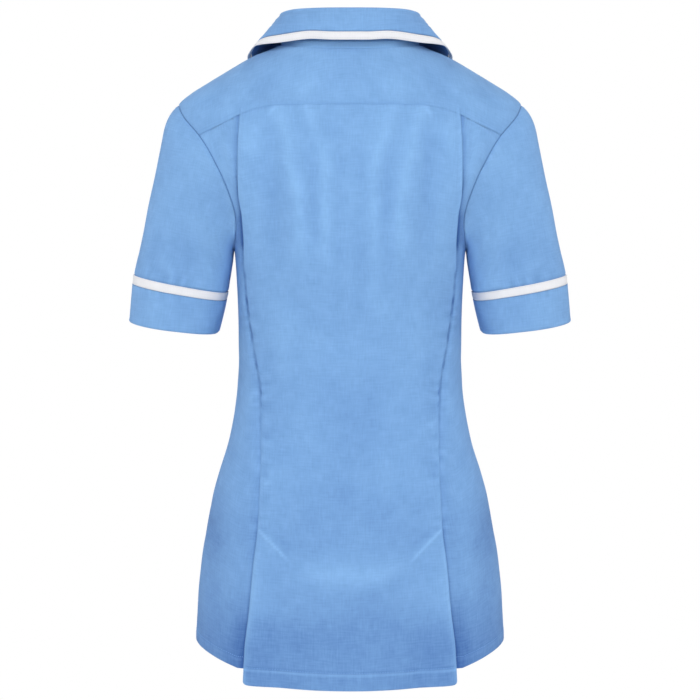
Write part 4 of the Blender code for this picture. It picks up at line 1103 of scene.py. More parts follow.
def woven_cloth_group():
    """Woven cloth on lengths in metres: fine diagonal ribs crossed by the weft for the height,
    thick and thin threads and a faint mottle for the colour, and the painted light and shade of
    the tone attribute."""
    tree, given, out = new_group(
        "woven_cloth",
        (
            ("Vector", "NodeSocketVector", None),
            ("Tone", "NodeSocketFloat", 0.0),
            ("Dark Thread And Shade", "NodeSocketColor", None),
            ("Light", "NodeSocketColor", None),
            ("Tone Depth", "NodeSocketFloat", 0.35),
            ("Thread Depth", "NodeSocketFloat", 0.3),
        ),
        (("Colour", "NodeSocketColor"), ("Height", "NodeSocketFloat")),
    )
    place = given.outputs["Vector"]
    warp = noise(tree, place, (1.0, THREAD_STRETCH, 1.0), WARP_SCALE, 2.0)
    weft = noise(tree, place, (THREAD_STRETCH, 1.0, 1.0), WEFT_SCALE, 2.0)
    mottle = noise(tree, place, (1.0, 1.0, 1.0), MOTTLE_SCALE, 6.0)
    threads = calculate(tree, "SUBTRACT", calculate(tree, "ADD", warp, weft), 1.0)
    threads = calculate(tree, "MULTIPLY", threads, given.outputs["Thread Depth"])
    blotch = calculate(tree, "MULTIPLY", calculate(tree, "SUBTRACT", mottle, 0.5), MOTTLE_DEPTH)
    tone = calculate(tree, "MULTIPLY", given.outputs["Tone"], given.outputs["Tone Depth"])
    share = calculate(tree, "ADD", calculate(tree, "ADD", threads, blotch), tone)
    share = calculate(tree, "ADD", share, LIGHT_SHARE, clamp=True)
    mix = tree.nodes.new("ShaderNodeMix")
    mix.data_type = "RGBA"
    tree.links.new(share, mix.inputs["Factor"])
    tree.links.new(given.outputs["Dark Thread And Shade"], mix.inputs["A"])
    tree.links.new(given.outputs["Light"], mix.inputs["B"])
    tree.links.new(mix.outputs["Result"], out.inputs["Colour"])
    twill = ribs(tree, place, "DIAGONAL", TWILL_SCALE)
    cross = ribs(tree, place, "Y", CROSS_SCALE)
    weave = calculate(tree, "ADD", calculate(tree, "MULTIPLY", cross, CROSS_SHARE), twill)
    height = calculate(tree, "ADD", weave, calculate(tree, "MULTIPLY", threads, THREAD_RELIEF))
    tree.links.new(height, out.inputs["Height"])
    return tree


def cloth_material(name, dark_and_shade, light, tone_depth, thread_depth, relief, lengths=True):
    """A woven cloth: the group's colour and height, with a soft sheen. lengths says that the
    pattern follows the piece's own UV map; without it, it follows the object's place."""
    made, shader = new_material(name, *CLOTH_FINISH)
    tree = made.node_tree
    weave = tree.nodes.new("ShaderNodeGroup")
    weave.node_tree = woven
    fill(weave, ("Dark Thread And Shade", dark_and_shade), ("Light", light))
    fill(weave, ("Tone Depth", tone_depth), ("Thread Depth", thread_depth))
    if lengths:
        chart = tree.nodes.new("ShaderNodeUVMap")
        chart.uv_map = "cloth"
        tree.links.new(chart.outputs["UV"], weave.inputs["Vector"])
        tone = tree.nodes.new("ShaderNodeAttribute")
        tone.attribute_name = "tone"
        tree.links.new(tone.outputs["Fac"], weave.inputs["Tone"])
    else:
        place = tree.nodes.new("ShaderNodeTexCoord")
        tree.links.new(place.outputs["Object"], weave.inputs["Vector"])
    bump = tree.nodes.new("ShaderNodeBump")
    fill(bump, ("Strength", relief), ("Distance", WEAVE_HEIGHT))
    tree.links.new(weave.outputs["Height"], bump.inputs["Height"])
    tree.links.new(weave.outputs["Colour"], shader.inputs["Base Color"])
    tree.links.new(bump.outputs["Normal"], shader.inputs["Normal"])
    return made


woven = woven_cloth_group()
# The two ends that each cloth's colour is mixed between. The cloth's own threads and mottle move
# it a little from LIGHT_SHARE, and the tone attribute moves it further as painted light and shade:
# the dark end is the painted shade's colour and the pale end the painted light's.
BLUE_DARK_THREAD_AND_SHADE, BLUE_PALE_THREAD_AND_LIGHT = (0.052, 0.146, 0.425, 1), (0.294, 0.558, 0.930, 1)
WHITE_DARK_THREAD_AND_SHADE, WHITE_PALE_THREAD_AND_LIGHT = (0.77, 0.775, 0.815, 1), (0.94, 0.945, 0.97, 1)
blue = cloth_material("sky_blue_twill", BLUE_DARK_THREAD_AND_SHADE, BLUE_PALE_THREAD_AND_LIGHT, 0.16, 0.25, 0.55)
white = cloth_material("white_tape", WHITE_DARK_THREAD_AND_SHADE, WHITE_PALE_THREAD_AND_LIGHT, 0.35, 0.30, 0.5)
blue_thread = cloth_material(
    "blue_thread", (0.15, 0.31, 0.64, 1), (0.24, 0.47, 0.84, 1), 0.0, 0.2, 0.3, lengths=False
)
white_thread = cloth_material(
    "white_thread", (0.68, 0.68, 0.71, 1), (0.86, 0.86, 0.88, 1), 0.0, 0.2, 0.3, lengths=False
)

# ---------------------------------------------------------------- centre back and side backs
def back_lift(x, level):
    """How far the centre back's outer face stands off the form: only near its two edges."""
    from_edge = edge_at("out", level) - np.abs(x)
    return edge_at("proud", level) * ease(1 - from_edge / PROUD_REACH)


def back_relief(x, z):
    """Height, and tone as painted light and shade, of everything pressed or pulled into the centre
    back's face.
    """
    parts = (
        creases(BACK_CREASES, np.abs(x), z),
        creases(SEAT_CREASES, x, z),
        creases(ODD_BACK_CREASES, x, z),
        swell(x, z),
    )
    return sum(p[0] for p in parts), sum(p[1] for p in parts)


def seam_strength(z):
    """How strong the painted shade in the seam between the pleat and the vent is: it fades down
    the back, unevenly.
    """
    fading = SEAM_DARK + sum(more * grow(z, start, full) for more, start, full in SEAM_DARKENS)
    uneven = 1 + sum(far * np.sin(wave * z + start) for far, wave, start in SEAM_UNEVEN)
    return fading * uneven - SEAM_SPARED


def yoke_seam_strength(x):
    """How much the yoke seam's shade shows: little between the pleats, more beside them."""
    return UNDER_LEFT + OUTER_LEFT * grow(x, *SEAM_SHADE_OUT)


def centre_back():
    """Rows run from the end of the turned hem, round the edge and up to the yoke seam. Columns
    run from the turned edge on the wearer's left, round its fold, across to the other one."""
    tall = float(yoke_seam_z(0.0)) - HEM_BACK_CENTRE
    hem_rise, hem_inside = turned_hem(HEM_BACK_DEPTH)
    face_rise = HEM_RADIUS + (tall - HEM_RADIUS) * spread(BACK_ROWS)[:, None]
    rise = np.concatenate([hem_rise, face_rise, tall + UNDER_RUN[:, None]])
    inside = np.concatenate([hem_inside, 0 * face_rise, UNDER_DEPTH[:, None]])
    level = HEM_BACK_CENTRE + rise
    edge_x = edge_at("out", level)
    fold_x = edge_x - TURN_RADIUS
    across = np.linspace(0, 1, BACK_UNDER_COLUMNS + 1)[None, :-1]
    under_x = blend(edge_x - edge_at("turned", level), fold_x, across)
    under_off = back_lift(under_x, level) - 2 * TURN_RADIUS
    around = np.radians(np.linspace(180, 0, BACK_TURN_COLUMNS + 1)[None, :-1])
    turn_x = fold_x + TURN_RADIUS * np.sin(around)
    turn_off = back_lift(fold_x, level) + TURN_RADIUS * (np.cos(around) - 1)
    outer_x = fold_x * (1 - 2 * spread(BACK_COLUMNS)[None])
    x = np.concatenate([under_x, turn_x, outer_x, -turn_x[:, ::-1], -under_x[:, ::-1]], axis=1)
    off = np.concatenate(
        [under_off, turn_off, back_lift(outer_x, level), turn_off[:, ::-1], under_off[:, ::-1]],
        axis=1,
    )
    hem = blend(HEM_BACK_CENTRE, HEM_BACK_CORNER, (x / edge_x) ** 2)
    from_side = np.clip((edge_x - np.abs(x)) / CORNER_RADIUS, 0, 1)
    corner = CORNER_RADIUS * (1 - np.sqrt(1 - (1 - from_side) ** 2))
    z = blend(hem, yoke_seam_z(x) - BACK_SEAM_EASE, rise / tall)
    z = z + corner * ease(1 - rise / CORNER_FADES)

    face = (np.abs(x) <= fold_x) & (off > -TURN_RADIUS)
    from_edge = fold_x - np.abs(x)
    from_yoke = (tall - rise) * np.ones_like(x)
    sewn, strong = between(z, *SEWN), seam_strength(z)
    # tone is painted light and shade: lighter on ridges, lips and along parts of the edge, darker
    # in troughs, seams and grooves, on the turned-under edge, and more and more towards the hem.
    height, tone = back_relief(x, z)
    hem_height, hem_tone = hem_relief(rise, HEM_BACK_DEPTH, x)
    gather, gather_tone = puckers(z, from_edge, *BACK_GATHER)
    under_yoke = blend(YOKE_KEEPS, 1, ease(from_yoke / YOKE_FLAT))
    height = height * under_yoke + hem_height + gather * sewn
    height = height * ease(from_edge / EDGE_FLAT + EDGE_KEEPS)
    tone = tone + hem_tone + gather_tone * sewn
    tone = tone + BACK_GROOVE * sewn * strong * hump(from_edge, GROOVE_WIDTH)
    tone = tone + shades(BACK_SHADES, z, from_edge, np.abs(x)) + shade_bands(BACK_SHADE_BANDS, z, from_edge)
    tone = tone + yoke_seam_strength(np.abs(x)) * seam_tone(from_yoke)
    tone = np.where(face, tone, UNDERSIDE_TONE + UNDERSIDE_SEWN * sewn * strong)
    off = off + np.where(face, height, 0) - roll(from_yoke, *YOKE_OVER_BACK) - inside
    grid = cloth_point(angle_at_x(x, z, 1), z, off)
    cloth("back_centre", grid, WALL, blue, tone)
    row = nearest_line(face_rise[:, 0], HEM_BACK_DEPTH) + len(hem_rise)
    ends = under_x.shape[1] + BACK_ENDS
    sew(grid, row, slice(ends, -ends))


def side_edge(side, turns, under=0.0):
    """The side seam from the hem to the underarm, then the armhole, for a body panel. under is
    how far past the seam its allowance runs; on the armhole it turns in at once."""
    z = np.linspace(HEM_SIDE + HEM_RADIUS, UNDERARM_Z - ARMHOLE_EASE - SEAM_GAP, SIDE_ROWS + 1)
    seam = places(angle_at_y(side * (SEAM_GAP - under), z), z)
    return np.concatenate([seam, armhole(turns, ARMHOLE_EASE - ARMHOLE_UNDER * under)[1:]])


def under_depth(shape, first=False):
    """How deep a panel's seam allowances lie: the last rows, and the first columns."""
    depth = np.zeros(shape)
    count = len(UNDER_DEPTH)
    depth[-count:] = UNDER_DEPTH[:, None]
    if first:
        depth[:, :count] = np.maximum(depth[:, :count], UNDER_DEPTH[::-1])
    return depth


def with_hem(angle, z):
    """A panel's places with the rows of a turned hem below them, how high each row stands above
    the edge, and how deep inside the outer face."""
    rise, inside = turned_hem(HEM_SIDE_DEPTH)
    first = z[:1] - HEM_RADIUS
    all_z = np.concatenate([first + rise, z])
    all_angle = np.concatenate([angle[:1] + 0 * rise, angle])
    all_inside = np.concatenate([inside + 0 * first, 0 * z])
    return all_angle, all_z, all_z - first, all_inside, len(rise)


def side_back():
    """From the side seam and the armhole to the centre back, which it runs under. Beside the
    centre back's edge it dips, and beside the open pleat it sinks into a hollow."""
    turns = np.append(turns_back[:-1], turns_back[-1] - YOKE_CORNER_TRIM)
    outer = side_edge(1, turns)
    under = np.stack([side_edge(1, turns, run) for run in UNDER_RUN[::-1]], axis=1)
    armhole_z = outer[SIDE_ROWS:, 1]
    rise = (SIDE_BACK_TOP - armhole_z[-1]) * np.linspace(0, 1, len(armhole_z)) ** PLEAT_RISE
    below = np.linspace(HEM_VENT + HEM_RADIUS, armhole_z[0], SIDE_ROWS + 1)
    edge_z = np.append(below, (armhole_z + rise)[1:])
    edge_x = edge_at("out", edge_z)
    room_beside = form_point(*np.moveaxis(outer, -1, 0))[:, 0] - edge_x
    past_edge = edge_x + np.minimum(DIP_REACH, DIP_SHARE * room_beside)
    inner = places(angle_at_x(past_edge, edge_z, 1), edge_z)
    across = spread(SIDE_BACK_COLUMNS)
    seam_x = blend(form_point(*outer[-1])[0], past_edge[-1], across)
    seam_z = yoke_seam_z(seam_x) - SIDE_SEAM_EASE
    top = places(angle_at_x(seam_x, seam_z, 1), seam_z)
    top[0], inner[-1] = outer[-1], top[-1]
    bottom = blend(outer[0], inner[0], across[:, None])
    bottom[:, 1] = blend(HEM_SIDE, HEM_VENT, across**HEM_CURVE) + HEM_RADIUS
    main = patch(bottom, top, outer, inner, hold=SIDE_HOLD)
    strips = []
    for out in (edge_x + SEAM_GAP, edge_x - edge_at("lap", edge_z)):
        z = np.minimum(edge_z, yoke_seam_z(out) - SIDE_SEAM_EASE)
        strips.append(places(angle_at_x(out, z, 1), z)[:, None])
    dip_share, lap_share = (np.linspace(0, 1, n + 1)[1:] for n in (DIP_COLUMNS, LAP_COLUMNS))
    dip = blend(inner[:, None], strips[0], dip_share[None, :, None])
    lap = blend(strips[0], strips[1], lap_share[None, :, None])
    angle, z = np.moveaxis(np.concatenate([under, main, dip, lap], axis=1), -1, 0)
    top_x, top_z = form_point(angle[-1], z[-1])[:, 0], z[-1] + UNDER_RUN[:, None]
    angle = np.concatenate([angle, angle_at_x(top_x, top_z, 1)])
    z = np.concatenate([z, top_z])
    into = np.ones(angle.shape[1])
    first = len(UNDER_RUN) + len(across)
    into[:first] = 0
    into[first : first + DIP_COLUMNS] = ease(dip_share)
    angle, z, rise, inside, hem_rows = with_hem(angle, z)
    inside = inside + under_depth(inside.shape, first=True)
    point = form_point(angle, z)
    x = point[..., 0]
    # Near the yoke seam this panel stays level with the yoke until just before the pleat.
    into = into[None] ** (1 + LEVEL_POWER * grow(z, *LEVEL_HEIGHTS))
    # The dip lets the centre back's turned edge lie over this panel.
    room = (2 * TURN_RADIUS + 3 * SEAM_GAP - DIP_SPARED * edge_at("proud", z)).clip(0)
    sunk = (room + PLEAT_HOLLOW * between(z, *PLEAT_HOLLOW_HEIGHTS)) * into
    pleat_edge = cloth_point(angle_at_x(edge_at("out", z), z, 1), z, edge_at("proud", z))

    from_pleat = (cloth_point(angle, z, -sunk) - pleat_edge)[..., 0].clip(0)
    from_side = lengths_from(point, 1, len(UNDER_RUN))
    from_top = lengths_from(point[::-1], 0, len(UNDER_RUN))[::-1]
    sewn, strong = between(z, *SEWN), seam_strength(z)
    # tone is painted light and shade: lighter on ridges and lips, darker in troughs, seams and
    # grooves, beside and under the pleat's edge, in the underarm, on the hip and towards the hem.
    height, tone = creases(SIDE_BACK_CREASES, x, z)
    swollen, swollen_tone = swell(x + SIDE_SWELL, z)
    hem_height, hem_tone = hem_relief(rise, HEM_SIDE_DEPTH, from_side, SIDE_HEM_STRENGTH)
    gather, gather_tone = puckers(z, from_pleat, *SIDE_GATHER)
    height = (height + swollen + hem_height + gather * sewn) * ease(from_side / SEAM_FLAT)
    tone = tone + swollen_tone + hem_tone + gather_tone * sewn
    tone = tone + SIDE_LIP * sewn * hump(from_pleat - SIDE_LIP_AT, SIDE_LIP_WIDTH)
    tone = tone + SIDE_GROOVE * sewn * strong * hump(from_pleat, SIDE_GROOVE_WIDTH)
    tone = tone + shades(SIDE_SHADES, z, from_pleat, x) + shade_bands(SIDE_SHADE_BANDS, z)
    tone = tone + blend(*SIDE_SEAM_TONES, grow(z, *SIDE_SEAM_HEIGHTS)) * seam_tone(from_side)
    tone = tone + (CORNER_LEFT + CORNER_MORE * grow(x, *CORNER_OUT)) * seam_tone(from_top)
    edges = roll(from_side, *SIDE_EDGE_ROLL) + roll(from_top, *SIDE_TOP_ROLL)
    grid = cloth_point(angle, z, height - sunk - edges - inside)
    row = hem_rows + nearest_line(rise[hem_rows:, 0], HEM_SIDE_DEPTH)
    for side_grid in pair("back_side", grid, WALL, blue, tone):
        sew(side_grid, row)


# ---------------------------------------------------------------- fronts
def front(name, over):
    """One front. over is how far the edge that laps the centre stands off the form."""
    outer = side_edge(-1, turns_front[::-1])
    corner = neck_corner_z()
    seam_y = FRONT_YOKE_SEAM_Y - FRONT_SEAM_EASE
    below = np.linspace(HEM_FRONT + HEM_RADIUS, UNDERARM_Z, SIDE_ROWS + 1)
    lap = np.linspace(UNDERARM_Z, -V_DEPTH, FRONT_LAP_ROWS + 1)
    neck_rows = len(outer) - len(below) - len(lap) + 2
    neckline = np.linspace(-V_DEPTH, corner - BACK_SEAM_EASE, neck_rows)
    edge_z = np.concatenate([below, lap[1:], neckline[1:]])
    edge = places(angle_at_x(neckline_x(edge_z), edge_z, -1), edge_z)
    edge[-1, 0] = angle_at_y(seam_y, edge_z[-1])
    inner_z = edge_z - np.interp(edge_z, (-V_DEPTH, corner), (0, LAP_STRIP_DROP))
    inner = places(angle_at_x(neckline_x(edge_z) + 2 * FRONT_OVERLAP, inner_z, -1), inner_z)
    inner[-1, 0] = angle_at_y(seam_y, inner_z[-1])
    across = spread(FRONT_COLUMNS)
    seam_z = blend(inner[-1, 1], outer[-1, 1], across)
    top = places(angle_at_y(seam_y, seam_z), seam_z)
    outer[-1] = top[-1]
    bottom = blend(inner[0], outer[0], across[:, None])
    bottom[:, 1] = blend(HEM_FRONT, HEM_SIDE, ease(across)) + HEM_RADIUS
    main = patch(bottom, top, inner, outer, hold=FRONT_HOLD)
    strip = blend(edge[:, None], inner[:, None], spread(FRONT_STRIP_COLUMNS)[None, :-1, None])
    angle, z = np.moveaxis(np.concatenate([strip, main], axis=1), -1, 0)
    top_z = z[-1] + 0 * UNDER_RUN[:, None]
    angle = np.concatenate([angle, angle_at_y(seam_y + UNDER_RUN[:, None], top_z)])
    angle, z, rise, inside, hem_rows = with_hem(angle, np.concatenate([z, top_z]))
    inside = inside + under_depth(inside.shape)
    point = form_point(angle, z)
    x = point[..., 0]

    signed = x if name.endswith("left") else -x
    from_edge, from_side = run_lengths(point, 1)
    from_top = lengths_from(point[::-1], 0, len(UNDER_RUN))[::-1]
    # tone is painted light and shade: lighter on ridges, darker in troughs and seams, and darker
    # near the side seam low down.
    height, tone = creases(FRONT_CREASES, x, z)
    odd, odd_tone = creases(ODD_FRONT_CREASES, signed, z)
    swollen, swollen_tone = swell(signed, z + FRONT_SWELL)
    hem_height, hem_tone = hem_relief(rise, HEM_SIDE_DEPTH, x, FRONT_HEM_STRENGTH)
    height = height * grow(from_edge, *LAP_FLAT) + odd * grow(from_edge, *ODD_FLAT)
    height = (height + swollen + hem_height) * ease(from_side / SEAM_FLAT)
    tone = FRONT_CREASE_TONE * (tone + odd_tone) + FRONT_SWELL_TONE * swollen_tone + hem_tone
    tone = tone + seam_tone(from_side) + seam_tone(from_top)
    tone = tone + shades(FRONT_SHADES, z, from_side) + shade_bands(FRONT_SHADE_BANDS, z, from_side)
    level_edge = LAP_KEEPS if over else 0.0
    height = height * (1 - (1 - level_edge) * grow(x, *LAP_LEVEL_OUT))
    if over:
        line, line_tone = lines(LAP_LINES, from_edge)
        stitched = grow(z, *LAP_STITCHED_FROM)
        height, tone = height + line * stitched, tone + line_tone * stitched
    lift = over * ease((FRONT_LIFT_ENDS - x) / FRONT_LIFT_FADES)
    edges = roll(from_side) + roll(from_top) + roll(from_edge, *LAP_ROLL)
    grid = cloth_point(angle, z, lift + height - inside - edges)
    if name.endswith("right"):
        grid, tone = mirrored(grid), tone[:, ::-1]
    cloth(name, grid, WALL, blue, tone)
    sew(grid, hem_rows + nearest_line(rise[hem_rows:, -1], HEM_SIDE_DEPTH))
    if over:
        column = nearest_line(from_edge[hem_rows + SIDE_ROWS // 2], LAP_STITCHING)
        rows = slice(hem_rows + LAP_ENDS, hem_rows + SIDE_ROWS + FRONT_LAP_ROWS - 1)
        sew(grid, rows, grid.shape[1] - 1 - column)


# ---------------------------------------------------------------- yoke
def yoke():
    """From the yoke seam over both shoulders to its front seams, round the neck hole."""
    side = armhole(turns_yoke, ARMHOLE_EASE)
    count = NECK_COLUMNS + SHOULDER_COLUMNS
    share = np.linspace(0, 1, count + 1)
    seam_x = float(form_point(*side[0])[0]) * share
    seam_z = yoke_seam_z(seam_x)
    bottom = places(angle_at_x(seam_x, seam_z, 1), seam_z)
    bottom[-1] = side[0]
    neck = neck_places(NECK_COLUMNS)
    seam_z = np.linspace(neck[-1, 1], side[-1, 1], SHOULDER_COLUMNS + 1)
    seam = places(angle_at_y(FRONT_YOKE_SEAM_Y, seam_z), seam_z)
    top = np.concatenate([neck, seam[1:]])
    top[-1] = side[-1]
    up = spread(len(side) - 1)
    middle = blend(bottom[0], top[0], up[:, None])
    along = np.linspace(0, 1, len(side))
    side = np.stack([np.interp(up, along, side[:, i]) for i in (0, 1)], -1)
    rows = blend(middle[:, None], side[:, None], share[None, :, None])
    bottom_curve = bottom - blend(bottom[0], bottom[-1], share[:, None])
    top_curve = top - blend(top[0], top[-1], share[:, None])
    level = up[:, None, None]
    angle, z = np.moveaxis(rows + bottom_curve * (1 - level) + top_curve * level, -1, 0)
    point = form_point(angle, z)
    x = point[..., 0]

    from_seam, from_front = run_lengths(point, 0)
    _, from_side = run_lengths(point, 1)
    # tone is painted light and shade: lighter on ridges and lips, darker in troughs, seams and the
    # collar's shadow, with painted light just under the collar's leaf.
    height, tone = creases(YOKE_CREASES, x, z)
    swollen, swollen_tone = swell(x, z)
    line, line_tone = lines(YOKE_LINES, from_seam)
    height = height + swollen
    for distance, flat in zip((from_seam, from_front, from_side), YOKE_EDGES_FLAT):
        height = height * ease(distance / flat)
    height = height + line
    beside = yoke_seam_strength(x) - LESS_BESIDE * grow(x, *LESS_BESIDE_OUT)
    tone = tone + swollen_tone + line_tone + beside * seam_tone(from_seam)
    tone = tone + YOKE_SLEEVE_TONE * seam_tone(from_side) + YOKE_FRONT_TONE * seam_tone(from_front)
    painted_light = hump(from_front, PAINTED_LIGHT_REACH) * hump(x - PAINTED_LIGHT_OUT, PAINTED_LIGHT_WIDTH)
    tone = tone + PAINTED_LIGHT_UNDER_LEAF * painted_light + shades(YOKE_SHADES, z, x - COLLAR_SHADE_OUT)
    edges = roll(from_seam, *YOKE_ROLL) + roll(from_side, *ARMHOLE_ROLL)
    off = height - edges - roll(from_front, *YOKE_FRONT_ROLL)
    half = point + unit(cloth_point(angle, z, 1.0) - point) * off[..., None]
    grid = both_halves(half)
    cloth("yoke", grid, WALL, blue, both_tones(tone))
    sew(grid, nearest_line(from_seam[:, 0], YOKE_STITCHING), slice(YOKE_ENDS, -YOKE_ENDS))


# ---------------------------------------------------------------- sleeves, cuffs and bands
def ring(down, turn, off):
    """A point round the sleeve's lower end. down is the distance below the band's upper edge,
    turn 0 is at the body side and goes round by the back. Behind, on the body side, the ring is
    squarer than an ellipse."""
    at = {name: read(RINGS, RING_COLUMNS, name, down) for name in RING_COLUMNS[1:]}
    beyond = down - np.clip(down, RINGS[0][0], RINGS[-1][0])
    lean_out, lean_forward = np.radians(at["lean_out"]), np.radians(at["lean_forward"])
    squarer = ease(np.sin(turn) / SQUARE_COMES_IN) * ease(np.cos(turn) / SQUARE_COMES_IN)
    square = 2 + BACK_SQUARE * squarer
    wider = (np.abs(np.cos(turn)) ** square + np.abs(np.sin(turn)) ** square) ** (-1 / square)
    across = -(at["half_width"] + off) * np.cos(turn) * wider
    back = (at["half_depth"] + off) * np.sin(turn) * wider
    x = at["x"] + across * np.cos(lean_out) + beyond * RING_DRIFT
    y = at["y"] + back * np.cos(lean_forward)
    z = at["z"] + across * np.sin(lean_out) - back * np.sin(lean_forward) - beyond
    return np.stack(np.broadcast_arrays(x, y, z), axis=-1)


def beside_seam(grid, start, turn, from_seam):
    """A sleeve's points, with those behind the wearer moved out softly to the armhole seam, so
    that seen from behind none hangs over it. from_seam is 0 on the seam and 1 past the cap."""
    behind = (turn > 0) & (turn < math.pi)
    out = grid[..., 0] - np.interp(grid[..., 2], start[behind, 2], start[behind, 0])
    soft = SEAM_SOFTNESS * from_seam[:, None]
    held = 0.5 * (out + np.sqrt(out**2 + soft**2))
    moved = grid.copy()
    moved[..., 0] += (held - out) * ease(np.sin(turn) / SEAM_HELD)
    return moved


def sleeve():
    """From the armhole to just inside the cuff. Each column leaves the armhole, turns a corner
    and runs down the arm. The answer is where round the arm the columns are."""
    turn = np.concatenate([turns_back, turns_yoke[1:], turns_front[1:-1]])
    angle, z = np.moveaxis(armhole(turn), -1, 0)
    at_foot, at_top = 0.5 + 0.5 * np.cos(turn), 0.5 - 0.5 * np.cos(turn)
    start = cloth_point(angle, z, UNDERARM_OFF * at_foot**2)
    end = ring(0.0, turn, 0.0)
    lean_out, lean_forward = math.radians(ARM_LEAN_OUT), math.radians(ARM_LEAN_FORWARD)
    arm = unit(np.array((math.tan(lean_out), -math.tan(lean_forward), -1.0)))
    flare = SLEEVE_FLARE * np.sin(turn)[:, None] ** 2
    down_arm = unit(blend(arm, unit(end - start), flare))
    length = np.sum((end - start) * down_arm, axis=-1, keepdims=True)
    cap = np.minimum(CAP_DEPTH, CAP_SHARE * length)
    foot = end - down_arm * (length - cap)
    corner = foot - down_arm * cap * blend(CAP_CORNER, CAP_CORNER_TOP, at_top[:, None] ** 2)
    share = np.linspace(0, 1, CAP_ROWS + 1)
    t = (share**CAP_CROWDED)[:, None, None]
    head = (1 - t) ** 2 * start + 2 * t * (1 - t) * corner + t**2 * foot
    body = blend(foot, end, np.linspace(0, 1, ARM_ROWS + 1)[1:, None, None])
    tail = ring(np.linspace(0, SLEEVE_INSIDE_CUFF, TAIL_ROWS + 1)[1:, None], turn[None], 0.0)
    # The allowance is short round the underarm, where the side back sinks beside the pleat.
    long = blend(UNDERARM_SHORT, 1, ease((1 - np.cos(turn)) / UNDERARM_SHORT_TO))
    out = armhole(turn[None], SLEEVE_UNDER[:, None] * long)
    under = cloth_point(out[..., 0], out[..., 1], -SLEEVE_UNDER_DEPTH[:, None])
    from_seam = np.concatenate([share, np.ones(ARM_ROWS)])
    above = beside_seam(np.concatenate([head, body]), start, turn, from_seam)
    grid = np.concatenate([under, above, tail])

    z = grid[..., 2]
    from_top = lengths_from(grid, 0, len(SLEEVE_UNDER))
    above_cuff = (from_top[len(SLEEVE_UNDER) + CAP_ROWS + ARM_ROWS] - from_top).clip(0)
    round_arm = np.broadcast_to(np.degrees(turn) / TURN_UNIT, from_top.shape)
    metres = TURN_UNIT * math.radians(1) * (RINGS[0][4] + RINGS[0][5]) / 2
    length_round = round_arm * metres
    # tone is painted light and shade: lighter on ridges and the lip at the armhole, darker in
    # troughs, the armhole seam, above the band and low on the sleeve, and painted lighter on the
    # sleeve's inner back, which turns from the light.
    height, tone = creases(SLEEVE_CREASES, round_arm, z, metres)
    swollen, swollen_tone = swell(length_round, z)
    gather, gather_tone = puckers(length_round, above_cuff - SLEEVE_GATHER_AT, *SLEEVE_GATHER)
    cap_ease, cap_tone = puckers(length_round, from_top, *CAP_GATHER)
    line, line_tone = lines(CAP_LINES, from_top)
    fade = ease(from_top / SLEEVE_TOP_FADE) * ease(above_cuff / SLEEVE_FOOT_FADE)
    more_on_top = 1 - 0.5 * np.cos(turn)
    height = (height + swollen) * fade + gather * ease(above_cuff / CUFF_GATHER_FADE)
    height = height + cap_ease * ease(from_top / CAP_GATHER_FADE) + line * more_on_top
    tone = tone * fade + swollen_tone + gather_tone + CAP_GATHER_TONE * cap_tone
    tone = tone + CAP_SEAM_TONE * seam_tone(from_top) + line_tone * more_on_top
    tone = tone + SLEEVE_FOOT_TONE * hump(above_cuff, SLEEVE_FOOT_WIDTH)
    tone = tone + shades(SLEEVE_SHADES, z, np.degrees(turn) - INNER_TURN)
    # Above the band the sleeve fills out to the cuff's width.
    fuller = ease(1 - above_cuff / FULLER_ABOVE) * ease(above_cuff / FULLER_STEP)
    height = height + SLEEVE_FULLER * fuller - roll(from_top, *ARMHOLE_ROLL)
    # The armhole is walked up the back: from above, that is anticlockwise on the left sleeve
    # when the rows run down the arm, so the rows are turned over.
    grid, height, tone = grid[::-1, ::-1], height[::-1, ::-1], tone[::-1, ::-1]
    grid = grid + normals_of(grid, closed=True) * height[..., None]
    pair("sleeve", grid, WALL, blue, tone, closed=True)
    return turn


